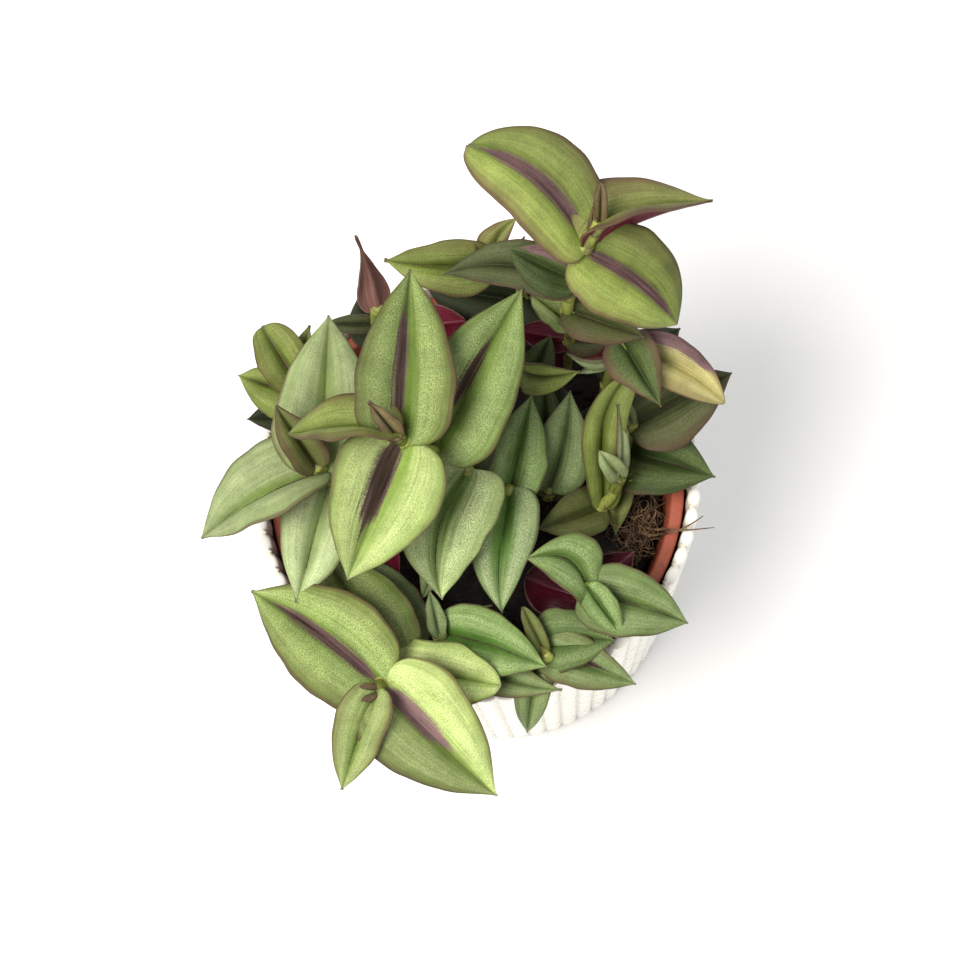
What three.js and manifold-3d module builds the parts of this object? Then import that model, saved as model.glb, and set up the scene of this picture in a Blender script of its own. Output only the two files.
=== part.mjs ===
// A potted inch plant: leafy stems in soil, in a nursery pot, in a fluted white cover pot.
// Millimetres, +Z up. The origin is the centre of the cover pot's foot.

import * as THREE from "three";
import { mergeVertices } from "three/addons/utils/BufferGeometryUtils.js";
import Module from "manifold-3d";

const wasm = await Module();
wasm.setup();

// Driving dimensions of the two pots and the soil
const COVER = { height: 98, footRadius: 53, rimRadius: 59.2, wall: 2.2, floor: 4 };
const FOOT = { inset: 2, rise: 3 };
const RIBS = { count: 66, depth: 1.1, pointsEach: 3 };
const NURSERY = { rimZ: 93, rimRadius: 55, footRadius: 38, bevel: 1.5, wall: 1.2, floor: 2.7, sides: 32 };
const LIP = { depth: 2.2, drop: 6, flare: 0.4, topRise: 0.8, topInset: 0.7 };
const DRAIN = { count: 6, radius: 3.5, ring: 26, sides: 6 };
const SOIL = { top: 84, dome: 2.5, domeRise: 1.5, rimDrop: 1.5, wallDepth: 5, clearance: 0.65, rings: 4 };
const GAP = 0.3;

// How far a cutting body reaches past the surface that it opens
const PAST = 2;

// Driving dimensions of the plant
const STEM = { radius: 1.5, tip: 0.6, sides: 5, steps: 2, holeDepth: 10, collar: 2, straightTop: 90 };
const STEM_HOLE_CLEARANCE = 0.4;
const BLADE = { thickness: 0.8, neck: 0.14, point: 0.03, baseFullness: 0.3, sink: 1.1 };
const LEAF = { roll: 0, fold: 15, arch: 0.05, bend: 0, swing: 0, taper: 0.8 };
const FOLD_OF_BASE = 1.2;
const FOLD_OF_TIP = 0.8;
const STATIONS = [0, 0.05, 0.25, 0.55, 0.8, 1];
const ROOT = { radius: 0.5, sides: 3, steps: 2, clump: 2.2 };

// The direction that the plant is sized from: looking down into the pot, a little turned
const VIEW = { elevation: 73, roll: 14, distance: 550 };

const radians = THREE.MathUtils.degToRad;

// Material colours, one per real substance
const materials = {
  pot: { color: 0xf0efe8, roughness: 0.45 },
  nursery: { color: 0xb0604c, roughness: 0.5 },
  soil: { color: 0x241c15, roughness: 0.95 },
  leaf: { color: 0x8faa5a, roughness: 0.45 },
  root: { color: 0x6b4a33, roughness: 0.9 },
};

const plant = new THREE.Group();

function addMesh(name, solid, material) {
  const mesh = solid.getMesh();
  const geometry = new THREE.BufferGeometry();
  const corners = new Float32Array(mesh.numVert * 3);
  for (let i = 0; i < mesh.numVert; i += 1) {
    corners.set(mesh.vertProperties.slice(i * mesh.numProp, i * mesh.numProp + 3), i * 3);
  }
  geometry.setAttribute("position", new THREE.BufferAttribute(corners, 3));
  geometry.setIndex(Array.from(mesh.triVerts));
  const look = new THREE.MeshStandardMaterial({ ...materials[material], metalness: 0 });
  const made = new THREE.Mesh(geometry, look);
  made.name = name;
  plant.add(made);
}

// A closed body from a list of corners and triangles, turned so that its faces point out
function closedBody(points, triangles) {
  let volume = 0;
  for (const [a, b, c] of triangles) {
    volume += points[a].dot(new THREE.Vector3().crossVectors(points[b], points[c]));
  }
  const outward = volume > 0 ? triangles : triangles.map(([a, b, c]) => [a, c, b]);
  const vertProperties = new Float32Array(points.flatMap((p) => [p.x, p.y, p.z]));
  const triVerts = new Uint32Array(outward.flat());
  return new wasm.Manifold(new wasm.Mesh({ numProp: 3, vertProperties, triVerts }));
}

// Rings of equally many points, joined one to the next and capped with a fan at both ends.
// The edges after mirrorFrom are split the other way, so both faces of a thin blade match.
function loft(rings, startCentre, endCentre, mirrorFrom = Infinity) {
  const count = rings[0].length;
  const points = [...rings.flat(), startCentre, endCentre];
  const triangles = [];
  for (let i = 0; i + 1 < rings.length; i += 1) {
    for (let k = 0; k < count; k += 1) {
      const a = i * count + k;
      const b = i * count + ((k + 1) % count);
      const c = b + count;
      const d = a + count;
      if (k >= mirrorFrom) {
        triangles.push([a, b, d], [b, c, d]);
      } else {
        triangles.push([a, b, c], [a, c, d]);
      }
    }
  }
  const last = (rings.length - 1) * count;
  for (let k = 0; k < count; k += 1) {
    const next = (k + 1) % count;
    triangles.push([next, k, points.length - 2]);
    triangles.push([last + k, last + next, points.length - 1]);
  }
  return closedBody(points, triangles);
}

function circle(radius, z, sides, x = 0, y = 0) {
  const ring = [];
  for (let i = 0; i < sides; i += 1) {
    const turn = (2 * Math.PI * i) / sides;
    ring.push(new THREE.Vector3(x + radius * Math.cos(turn), y + radius * Math.sin(turn), z));
  }
  return ring;
}

// A ring of rounded ribs: each has a valley and two shoulders
function ribbedRing(radius, z) {
  const ring = [];
  for (let i = 0; i < RIBS.count * RIBS.pointsEach; i += 1) {
    const turn = (2 * Math.PI * i) / (RIBS.count * RIBS.pointsEach);
    const r = i % RIBS.pointsEach === 0 ? radius - RIBS.depth : radius;
    ring.push(new THREE.Vector3(r * Math.cos(turn), r * Math.sin(turn), z));
  }
  return ring;
}

function coverRadius(z) {
  return COVER.footRadius + ((COVER.rimRadius - COVER.footRadius) * z) / COVER.height;
}

// The ribbed wall is cast round a plain round hollow
function makeCoverPot() {
  const top = COVER.height;
  const body = loft(
    [
      ribbedRing(COVER.footRadius - FOOT.inset, 0),
      ribbedRing(coverRadius(FOOT.rise), FOOT.rise),
      ribbedRing(COVER.rimRadius, top),
    ],
    new THREE.Vector3(0, 0, 0),
    new THREE.Vector3(0, 0, top),
  );
  const inner = (z) => coverRadius(z) - RIBS.depth - COVER.wall;
  const hollow = loft(
    [COVER.floor, top + PAST].map((z) => circle(inner(z), z, RIBS.count)),
    new THREE.Vector3(0, 0, COVER.floor),
    new THREE.Vector3(0, 0, top + PAST),
  );
  return body.subtract(hollow);
}

const nurseryBottom = COVER.floor + GAP;
const nurseryFloor = nurseryBottom + NURSERY.floor;

function nurseryRadius(z) {
  const top = NURSERY.rimRadius - LIP.depth;
  const share = (z - nurseryBottom) / (NURSERY.rimZ - nurseryBottom);
  return NURSERY.footRadius + (top - NURSERY.footRadius) * share;
}

function makeNurseryPot() {
  const { sides } = NURSERY;
  const rim = NURSERY.rimZ;
  const under = rim - LIP.drop;
  const rings = [
    circle(NURSERY.footRadius - NURSERY.bevel, nurseryBottom, sides),
    circle(NURSERY.footRadius, nurseryBottom + NURSERY.bevel, sides),
    circle(nurseryRadius(under), under, sides),
    circle(NURSERY.rimRadius - LIP.flare, under, sides),
    circle(NURSERY.rimRadius, rim - LIP.topRise, sides),
    circle(NURSERY.rimRadius - LIP.topInset, rim, sides),
    circle(nurseryRadius(rim) - NURSERY.wall, rim, sides),
    circle(nurseryRadius(nurseryBottom) - NURSERY.wall, nurseryFloor, sides),
  ];
  const low = new THREE.Vector3(0, 0, nurseryBottom);
  const high = new THREE.Vector3(0, 0, nurseryFloor);
  let pot = loft(rings, low, high);
  for (let i = 0; i < DRAIN.count; i += 1) {
    const turn = (2 * Math.PI * i) / DRAIN.count;
    const x = DRAIN.ring * Math.cos(turn);
    const y = DRAIN.ring * Math.sin(turn);
    const ends = [nurseryBottom - PAST, nurseryFloor + PAST];
    const hole = loft(
      ends.map((z) => circle(DRAIN.radius, z, DRAIN.sides, x, y)),
      new THREE.Vector3(x, y, ends[0]),
      new THREE.Vector3(x, y, ends[1]),
    );
    pot = pot.subtract(hole);
  }
  return pot;
}

// The surface of the soil, a little higher in the middle, with lumps a few millimetres wide
function soilTop(x, y) {
  const r = Math.hypot(x, y) / NURSERY.rimRadius;
  const lumps = Math.sin(x / 6.3 + 1) * Math.cos(y / 5.1 - 0.4) + 0.6 * Math.sin((x + y) / 3.7);
  return SOIL.top + SOIL.domeRise - SOIL.dome * r * r + lumps;
}

function makeSoil(feet) {
  const { sides } = NURSERY;
  const inside = (z) => nurseryRadius(z) - NURSERY.wall - SOIL.clearance;
  const bottom = nurseryFloor + GAP;
  const edge = inside(SOIL.top - SOIL.wallDepth);
  const rings = [circle(inside(bottom) - GAP, bottom, sides)];
  for (let i = 0; i < SOIL.rings; i += 1) {
    const ring = circle(edge * (1 - i / SOIL.rings), 0, sides);
    ring.forEach((p) => p.setZ(soilTop(p.x, p.y) - (i === 0 ? SOIL.rimDrop : 0)));
    rings.push(ring);
  }
  let soil = loft(rings, new THREE.Vector3(0, 0, bottom), new THREE.Vector3(0, 0, soilTop(0, 0)));
  const radius = STEM.radius + STEM_HOLE_CLEARANCE;
  const ends = [SOIL.top - STEM.holeDepth - GAP, COVER.height];
  for (const { x, y } of feet) {
    const hole = loft(
      ends.map((z) => circle(radius, z, STEM.sides, x, y)),
      new THREE.Vector3(x, y, ends[0]),
      new THREE.Vector3(x, y, ends[1]),
    );
    soil = soil.subtract(hole);
  }
  return soil;
}

// The viewing frame that the plant's places are given in: across and up in the picture plane
// through the middle of the pot's mouth, and height above the table
const tilt = radians(VIEW.elevation);
const rolled = radians(VIEW.roll);
const level = new THREE.Vector3(1, 0, 0);
const upright = new THREE.Vector3(0, Math.sin(tilt), Math.cos(tilt));
const towards = new THREE.Vector3(0, -Math.cos(tilt), Math.sin(tilt));
const acrossDirection = level.clone().multiplyScalar(Math.cos(rolled));
acrossDirection.addScaledVector(upright, -Math.sin(rolled));
const upDirection = level.clone().multiplyScalar(Math.sin(rolled));
upDirection.addScaledVector(upright, Math.cos(rolled));
const mouth = new THREE.Vector3(0, 0, COVER.height);
const eye = mouth.clone().addScaledVector(towards, VIEW.distance);

// The point at a height above the table that is seen at (across, up)
function seen([across, up, height]) {
  const inPlane = mouth.clone();
  inPlane.addScaledVector(acrossDirection, across).addScaledVector(upDirection, up);
  const ray = inPlane.sub(eye);
  return eye.clone().addScaledVector(ray, (height - eye.z) / ray.z);
}

// How wide a blade is at a share of its length, as a part of its greatest width
function bladeOutline(s, taper) {
  const { baseFullness } = BLADE;
  const peak = baseFullness / (baseFullness + taper);
  return (s / peak) ** baseFullness * ((1 - s) / (1 - peak)) ** taper;
}

// A bow from base to tip that is 1 at its highest: in the middle, or two thirds along
const evenBow = (s) => 4 * s * (1 - s);
const lateBow = (s) => 6.75 * s * s * (1 - s);

// One leaf from its base to its tip. roll turns it about its midrib and fold lifts both halves, in
// degrees. arch bows it up, bend and swing bow it sideways, all as parts of its length.
function leaf(base, tip, wide, shape) {
  const { roll, fold, arch, bend, swing, taper } = { ...LEAF, ...shape };
  const chord = tip.clone().sub(base);
  const length = chord.length();
  const along = chord.clone().normalize();
  const toEye = eye.clone().sub(base.clone().add(tip).multiplyScalar(0.5)).normalize();
  const flatSide = new THREE.Vector3().crossVectors(along, toEye).normalize();
  const side = flatSide.clone().applyAxisAngle(along, -radians(roll));
  const face = new THREE.Vector3().crossVectors(side, along);
  const midrib = (s) => {
    const p = base.clone().addScaledVector(chord, s).addScaledVector(face, length * arch * evenBow(s));
    return p.addScaledVector(side, length * (bend * evenBow(s) + swing * lateBow(s)));
  };
  const rings = STATIONS.map((s) => {
    const step = 0.01;
    const slope = midrib(Math.min(1, s + step)).sub(midrib(Math.max(0, s - step)));
    const normal = new THREE.Vector3().crossVectors(side, slope).normalize();
    const neck = BLADE.neck * (1 - s);
    const half = (wide / 2) * Math.max(s < 1 ? bladeOutline(s, taper) : 0, neck, BLADE.point);
    const lift = radians(fold * (FOLD_OF_BASE + (FOLD_OF_TIP - FOLD_OF_BASE) * s));
    const middle = midrib(s).addScaledVector(along, s === 0 ? -BLADE.sink : 0);
    const out = side.clone().multiplyScalar(half * Math.cos(lift));
    const up = normal.clone().multiplyScalar(half * Math.sin(lift));
    const top = [middle.clone().sub(out).add(up), middle, middle.clone().add(out).add(up)];
    const down = normal.clone().multiplyScalar(-BLADE.thickness);
    const under = top.map((p) => p.clone().add(down)).reverse();
    return [...top, ...under];
  });
  const between = (ring) => ring[1].clone().add(ring[4]).multiplyScalar(0.5);
  return loft(rings, between(rings[0]), between(rings.at(-1)), 3);
}

// A round rod along a curve through points, with rings square to the curve
function rod(curve, radius, sides, count) {
  const rings = [];
  const first = curve.getTangentAt(0);
  let side = new THREE.Vector3(1, 0, 0).addScaledVector(first, -first.x).normalize();
  for (let i = 0; i <= count; i += 1) {
    const centre = curve.getPoint(i / count);
    const tangent = curve.getTangent(i / count);
    side = side.clone().addScaledVector(tangent, -side.dot(tangent)).normalize();
    const other = new THREE.Vector3().crossVectors(tangent, side);
    const size = radius * (i === count ? STEM.tip : 1);
    const ring = [];
    for (let k = 0; k < sides; k += 1) {
      const turn = (2 * Math.PI * k) / sides;
      const p = centre.clone().addScaledVector(side, size * Math.cos(turn));
      ring.push(p.addScaledVector(other, size * Math.sin(turn)));
    }
    rings.push(ring);
  }
  return loft(rings, curve.getPoint(0), curve.getPoint(1));
}

// The straight foot of a stem in its hole, and then its path up through its nodes
function stemPoints(foot, path) {
  const low = foot.clone().setZ(SOIL.top - STEM.holeDepth);
  const middle = foot.clone().setZ(SOIL.top + STEM.collar);
  const high = foot.clone().setZ(STEM.straightTop);
  return [low, middle, high, ...path.map(seen)];
}

// The leafy stems. foot is where the stem leaves the soil and path the nodes it climbs through. Each
// leaf is its base, tip, width and what differs from LEAF. Every place is across, up and height.
const LEAFY_STEMS = [
  {
    name: "leafy_stem_tall_back_right",
    foot: [24, 27, 84],
    path: [[25, 38, 118], [24.5, 47, 142], [27.5, 56, 160], [29.5, 62.5, 172], [33, 68, 177]],
    leaves: [
      [[28.4, 61.5, 171], [-1.6, 88.2, 181], 23.5, { roll: -6, fold: 18, bend: 0.12, taper: 0.45 }],
      [[30.5, 62, 171], [62.6, 73.8, 171], 25, { roll: 50, fold: 46, arch: 0.07, taper: 1.1 }],
      [[31, 59, 169], [53.3, 40.9, 156], 24, { fold: 14, arch: 0.1, bend: -0.07, taper: 0.7 }],
      [[33.4, 68.4, 177], [33.2, 78, 187], 4.5, { fold: 40, arch: 0, taper: 0.5 }],
      [[30.3, 66, 174], [31, 71.5, 181], 3.5, { fold: 40, arch: 0 }],
      [[26, 53, 154], [9, 60.8, 158], 13.5, { roll: 10, taper: 0.7 }],
      [[25.8, 50.5, 150], [-8.4, 54.2, 144], 14.5, { roll: -10, fold: 24, arch: 0.04, bend: 0.1 }],
      [[25, 44, 136], [44.5, 37.5, 134], 13, { fold: 18, arch: 0.06 }],
      [[24.9, 40.5, 125], [15.2, 48.6, 134], 11, { roll: -15, fold: 34, taper: 0.35 }],
      [[25, 37.5, 116], [35.5, 37.5, 114], 10, { roll: -8, fold: 18, taper: 0.6 }],
      [[25, 37, 114], [11, 39.5, 115], 9, { roll: 178, fold: 20, taper: 0.6 }],
    ],
  },
  {
    name: "leafy_stem_back",
    foot: [11, 37, 84],
    path: [[12, 46, 106], [12.5, 52, 122], [7, 55.5, 134], [2, 57.5, 141]],
    leaves: [
      [
        [3.5, 56.8, 138], [-23.9, 57.9, 138], 16,
        { roll: 8, fold: 24, arch: 0.08, bend: -0.03, taper: 0.9 },
      ],
      [[5, 56.5, 138], [11, 69, 150], 9.5, { roll: 25, fold: 30, arch: 0.1, bend: -0.1 }],
      [[9, 55, 132], [13, 64, 140], 6, { fold: 30 }],
      [[2, 57.5, 141], [0.3, 61.5, 150], 3, { fold: 35, arch: 0 }],
      [[12, 47, 108], [-13, 51, 101], 18, { arch: 0.1 }],
      [[12, 45, 103], [20, 57, 97], 14, { arch: 0.16 }],
      [[12.3, 50, 115], [22, 38, 110], 14, { fold: 20, arch: 0.06 }],
    ],
  },
  {
    name: "leafy_stem_back_left",
    foot: [-22, 28, 84],
    path: [[-25, 36, 102], [-26, 42, 114], [-25.5, 45.5, 122]],
    leaves: [
      [
        [-25.5, 45, 121], [-31.6, 64.4, 144], 10,
        { roll: 170, fold: 24, arch: 0.04, bend: -0.03, taper: 2.1 },
      ],
      [[-27, 41, 112], [-40, 41, 113], 6.5, { fold: 30, arch: 0.06 }],
      [[-26.5, 40, 108], [-2.4, 42, 112], 14, { roll: 178, fold: 20, arch: 0.03, taper: 0.6 }],
      [[-25, 36, 102], [-31, 48, 103], 13, { fold: 18, arch: 0.08 }],
    ],
  },
  {
    name: "leafy_stem_centre_left",
    foot: [-13, -2, 84],
    path: [[-11.5, 2.5, 112], [-9.8, 7, 132], [-14, 8.5, 144], [-19.2, 10.5, 150], [-21, 12, 154]],
    leaves: [
      [[-18.9, 10.5, 150], [-17, 55.5, 161], 25.5, { fold: 16 }],
      [[-20.3, 11.3, 153], [-49.2, 12.2, 150], 20, { roll: -44, fold: 40, taper: 0.7 }],
      [[-18.4, 9.5, 149], [-33.6, -26.3, 139], 28, { fold: 12, arch: 0.08 }],
      [[-8.5, 6.6, 136], [12.4, 50.3, 153], 26.5, { fold: 18, arch: 0.06 }],
      [[-20.6, 11.8, 153], [-27.8, 20.4, 164], 7.5, { fold: 45, arch: 0 }],
      [[-10, 2, 112], [-37, 9, 117], 15, { roll: 6, fold: 18, arch: 0.06 }],
    ],
  },
  {
    name: "leafy_stem_left",
    foot: [-35, -4, 84],
    path: [[-37, -2, 108], [-39, 0.5, 121], [-40, 2.6, 128], [-42, 4, 133]],
    leaves: [
      [[-39, 1.5, 127], [-72.1, -15.3, 121], 26, { roll: -38, fold: 28, arch: 0.08 }],
      [[-40.3, 4, 128], [-38.4, 43.4, 140], 27],
      [[-38.5, -1, 117], [-46.9, -32.4, 118], 21.5, { fold: 16, arch: 0.08 }],
      [[-42, 4, 133], [-52.4, 19.4, 149], 13, { fold: 40, arch: 0.02, taper: 0.7 }],
      [[-37, -1.5, 110], [-62.5, 5.5, 113], 21, { roll: 175, fold: 18, arch: 0.04 }],
      [[-36.5, -2.5, 103], [-61, -5, 104], 12, { fold: 18, arch: 0.1 }],
      [[-36, -3, 100], [-19.5, -25.5, 103], 15, { roll: 178, fold: 18, arch: 0.08 }],
    ],
  },
  {
    name: "leafy_stem_back_left_low",
    foot: [-37, 12, 84],
    path: [[-43, 18, 98], [-45.5, 22, 106], [-46.5, 25, 112]],
    leaves: [
      [[-46.5, 25, 112], [-55.9, 40.4, 121], 15, { fold: 25, arch: 0.06, taper: 0.4 }],
      [[-45.5, 22, 107], [-62.4, 27.6, 110], 17, { roll: 10, fold: 26, arch: 0.08, taper: 0.9 }],
      [[-46.3, 24.5, 110], [-43.7, 40.8, 118], 9, { roll: 20, fold: 30, arch: 0.06 }],
      [[-43, 17.5, 98], [-60, 16, 102], 12, { fold: 20, arch: 0.1 }],
    ],
  },
  {
    name: "leafy_stem_right_back",
    foot: [34, 20, 84],
    path: [[35, 26, 104], [37, 33, 121], [39, 36, 126]],
    leaves: [
      [[37.5, 34, 122], [65.8, 20.2, 119], 15, { roll: 6, fold: 22, bend: -0.1, taper: 0.6 }],
      [[39, 36, 126], [49, 19.2, 125], 16, { fold: 24, arch: 0.06, taper: 1.1 }],
      [[37, 34, 121], [27.1, 28, 121], 5, { roll: 40, fold: 30 }],
      [[38, 35, 124], [24.2, 33, 124], 8, { roll: 70, fold: 30, arch: 0.2 }],
      [[35, 25, 102], [54, 40, 102], 16, { fold: 18, arch: 0.1 }],
    ],
  },
  {
    name: "leafy_stem_right",
    foot: [38, 4, 84],
    path: [[39.5, 8, 97], [40.5, 13, 105], [41, 15, 108]],
    leaves: [
      [[41, 14, 107], [67.6, 28.2, 112], 24, { fold: 24, arch: -0.03 }],
      [[38.7, 4, 97], [63.2, 0.8, 104], 24, { roll: 8, fold: 18, arch: 0.06, taper: 0.9 }],
      [[41, 15, 108], [38, 24, 115], 6, { fold: 40, arch: 0 }],
      [[38.2, 3, 92], [37, -14.5, 91], 10.5, { fold: 18, arch: 0.06 }],
    ],
  },
  {
    name: "leafy_stem_right_centre",
    foot: [31, -9, 84],
    path: [[33, -7, 95], [36, -4, 102], [38, 1, 109]],
    leaves: [
      [
        [33.5, -6.5, 96], [40.1, 27, 124], 13,
        { roll: -14, fold: 30, bend: -0.01, swing: -0.1, taper: 0.28 },
      ],
      [[38, 1, 109], [37.8, 20, 122], 6, { roll: -50, fold: 20, arch: 0.04 }],
      [[38, 1, 109], [32.7, 7.6, 120], 7, { fold: 24, arch: 0.1, taper: 0.6 }],
      [[31.5, -8, 96], [16.5, -13, 102], 14, { fold: 20, arch: 0.06 }],
    ],
  },
  {
    name: "leafy_stem_centre_right",
    foot: [19, -5, 84],
    path: [[19.3, -4, 94], [19.6, -2, 98]],
    leaves: [
      [[19.6, -2, 98], [25, 23.5, 114], 17, { fold: 20, arch: 0.06, bend: 0.05 }],
      [[19.5, -3, 96], [18, 28, 110], 15, { fold: 22, arch: 0.03 }],
      [[19.4, -3.5, 95], [31, 20, 103], 14, { fold: 25 }],
    ],
  },
  {
    name: "leafy_stem_centre",
    foot: [10, -10, 84],
    path: [[9.5, -6, 100], [8.7, -2.6, 110]],
    leaves: [
      [[8.7, -3, 107], [15, 22.6, 114], 17.5, { fold: 20, taper: 0.9 }],
      [[9, -3, 109], [7.1, -35.1, 106], 19, { fold: 18, arch: 0.07, swing: 0.04 }],
    ],
  },
  {
    name: "leafy_stem_middle",
    foot: [-3, -7, 84],
    path: [[-2.5, -3, 104], [-1.8, 2.2, 121]],
    leaves: [
      [[-1.8, 1.8, 120], [-8.7, -31.5, 113], 27, { roll: 8, fold: 18, arch: 0.08, bend: 0.14 }],
      [[-1.9, 1, 117], [-1, 26, 119], 14, { fold: 18, arch: 0.06 }],
      [[-2.5, -4, 102], [-14.2, -31.8, 103], 14, { fold: 18, arch: 0.08 }],
    ],
  },
  {
    name: "leafy_stem_back_centre",
    foot: [17, 20, 84],
    path: [[16, 24, 103], [14, 28, 115], [12.5, 29, 120]],
    leaves: [
      [[12.5, 29, 120], [27.6, 28.5, 127], 11, { roll: -26, fold: 30, arch: 0.2 }],
      [[15, 27, 112], [20, 38, 118], 10, { fold: 25, arch: 0.06 }],
      [[16, 26, 107], [23, 36, 111], 12, { roll: 178, fold: 20, arch: 0.06 }],
      [[16.5, 22, 98], [28, 12, 99], 12, { fold: 18, arch: 0.06 }],
    ],
  },
  {
    name: "leafy_stem_right_front",
    foot: [27.5, -29.5, 84],
    path: [[28.5, -31, 98], [28.9, -30, 107], [30, -28.8, 112]],
    leaves: [
      [
        [28.9, -30, 110], [13.7, -20.6, 116], 17,
        { roll: -15, fold: 24, arch: 0.14, bend: 0.24, taper: 0.7 },
      ],
      [[29, -29.5, 107], [56.1, -37.7, 105], 19.5, { fold: 18, arch: 0.1, bend: -0.03 }],
      [[30, -29, 112], [38.9, -40.8, 109], 10.5, { fold: 35, arch: 0.1 }],
      [[28.8, -30, 104], [42, -18.8, 106], 14, { roll: 178, fold: 20 }],
      [[28.5, -31, 100], [13, -25.5, 102], 17, { roll: 178, fold: 20, taper: 0.5 }],
      [[28.2, -30.5, 96], [44, -27, 99], 15, { roll: 178, fold: 18, arch: 0.1 }],
    ],
  },
  {
    name: "leafy_stem_front",
    foot: [-6, -37, 84],
    path: [[-7.5, -39, 96], [-8.7, -40, 103], [-9.5, -40.5, 107]],
    leaves: [
      [[-8.7, -40, 105], [18.9, -49.2, 107], 19, { fold: 18, arch: 0.06, bend: -0.03 }],
      [[-9.5, -40.5, 107], [-12, -29, 112], 6, { fold: 30, arch: 0.04 }],
      [[-8, -39, 100], [4.5, -32.8, 101], 5, { roll: 65, fold: 20, arch: 0.06 }],
      [[-7.5, -39, 98.5], [22.9, -55.2, 103], 14, { fold: 18, arch: 0.06, bend: 0.12 }],
    ],
  },
  {
    name: "leafy_stem_front_right",
    foot: [15, -39, 84],
    path: [[16, -42, 96], [18, -45, 102], [19.5, -47, 105]],
    leaves: [
      [[16, -43.5, 100], [36.8, -42.2, 104], 18, { fold: 20, arch: 0.08, bend: -0.06 }],
      [[17.5, -44.5, 104], [12.6, -33.4, 109], 6, { fold: 35, arch: 0.04, taper: 0.5 }],
      [[17.5, -44, 100], [42.4, -53.8, 100.5], 15, { fold: 20, arch: 0.06 }],
      [[16.5, -43, 98], [13.7, -66.6, 88], 11, { fold: 20, arch: 0.3 }],
    ],
  },
  {
    name: "leafy_stem_front_left",
    foot: [-19.5, -41, 84],
    path: [[-20, -46, 99], [-22, -50, 108], [-24.7, -53.7, 114], [-26, -55.5, 116]],
    leaves: [
      [[-25, -53.4, 114], [-58.9, -29.3, 112], 27.5, { fold: 14, arch: 0.06, bend: 0.04 }],
      [[-24, -53.6, 114], [5.8, -83.2, 104], 29, { roll: -6, fold: 14, arch: 0.06, taper: 0.85 }],
      [[-26, -55.5, 116], [-35.1, -81.6, 110], 16, { roll: -12, fold: 28 }],
      [[-21.5, -49, 106], [-38, -22, 107], 25, { fold: 16, arch: 0.06, taper: 0.6 }],
      [[-21.5, -49, 106.5], [6.8, -54, 109], 18, { fold: 16, arch: 0.06, taper: 0.5 }],
      [[-26, -55.5, 116], [-34, -57, 118], 6, { fold: 40, arch: 0 }],
      [[-20, -45, 100], [-31, -19, 103], 24, { fold: 16, arch: 0.06 }],
    ],
  },
];

// Dry brown roots that lie on the soil and over both rims, each a list of points
const ROOT_CLUMP = [44, -12.5, 87.6];
const ROOT_STRANDS = [
  [[43, -12, 88], [47, -13, 90.7], [50, -13, 94.4], [54, -13.3, 99.5], [58, -13, 100], [63, -12.5, 100]],
  [[43, -14, 88.3], [47, -14.5, 91], [50, -14, 94.6], [53, -13.5, 99], [57, -11.5, 100], [60, -9.5, 101]],
  [[42, -9, 88], [45, -12, 88.3], [47.5, -9, 90], [47, -5, 90.5]],
  [[42, -16, 88], [44, -13, 88], [45, -16, 88.6], [42, -19, 88]],
  [[46, -9, 89.5], [44, -13, 88], [42, -16, 88], [39.5, -16, 88.5]],
  [[46, -15, 90.5], [44.5, -13, 88.6], [42, -9, 88], [39, -8, 88.5]],
];

const feet = LEAFY_STEMS.map((stem) => seen(stem.foot));

// The point of a stem that is nearest to where a leaf is seen to start
function nearestOnStem(curve, place) {
  const samples = curve.getPoints(80);
  samples.sort((a, b) => a.distanceTo(place) - b.distanceTo(place));
  return samples[0];
}

function makeLeafyStem({ foot, path, leaves }) {
  const points = stemPoints(seen(foot), path);
  const curve = new THREE.CatmullRomCurve3(points, false, "centripetal");
  let body = rod(curve, STEM.radius, STEM.sides, (points.length - 1) * STEM.steps);
  for (const [base, tip, wide, shape] of leaves) {
    body = body.add(leaf(nearestOnStem(curve, seen(base)), seen(tip), wide, shape));
  }
  return body;
}

function makeRootTuft() {
  const clump = new THREE.IcosahedronGeometry(ROOT.clump, 0);
  clump.deleteAttribute("normal");
  clump.deleteAttribute("uv");
  const ball = mergeVertices(clump);
  const corner = ball.attributes.position;
  const middle = seen(ROOT_CLUMP);
  const points = [];
  for (let i = 0; i < corner.count; i += 1) {
    points.push(new THREE.Vector3().fromBufferAttribute(corner, i).add(middle));
  }
  const triangles = [];
  for (let i = 0; i < ball.index.count; i += 3) {
    triangles.push([0, 1, 2].map((k) => ball.index.getX(i + k)));
  }
  let tuft = closedBody(points, triangles);
  for (const strand of ROOT_STRANDS) {
    const curve = new THREE.CatmullRomCurve3(strand.map(seen), false, "centripetal");
    tuft = tuft.add(rod(curve, ROOT.radius, ROOT.sides, (strand.length - 1) * ROOT.steps));
  }
  return tuft;
}

addMesh("cover_pot", makeCoverPot(), "pot");
addMesh("nursery_pot", makeNurseryPot(), "nursery");
addMesh("soil", makeSoil(feet), "soil");
LEAFY_STEMS.forEach((stem) => addMesh(stem.name, makeLeafyStem(stem), "leaf"));
addMesh("root_tuft", makeRootTuft(), "root");

export default plant;
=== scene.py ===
# %% [markdown]
# # A potted inch plant
#
# Leafy stems of an inch plant stand in a terracotta-coloured nursery pot, and that pot stands in a fluted
# white cover pot. The leaves are what the eye sees: each has two puffed, silvery halves, a sharp groove
# between them, a mauve stripe and a maroon underside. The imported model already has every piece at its
# real place and size, so this lesson replaces each piece by a finer one on the same lines.

import math
import random

import bmesh
import bpy
from mathutils import Matrix, Quaternion, Vector, noise


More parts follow.
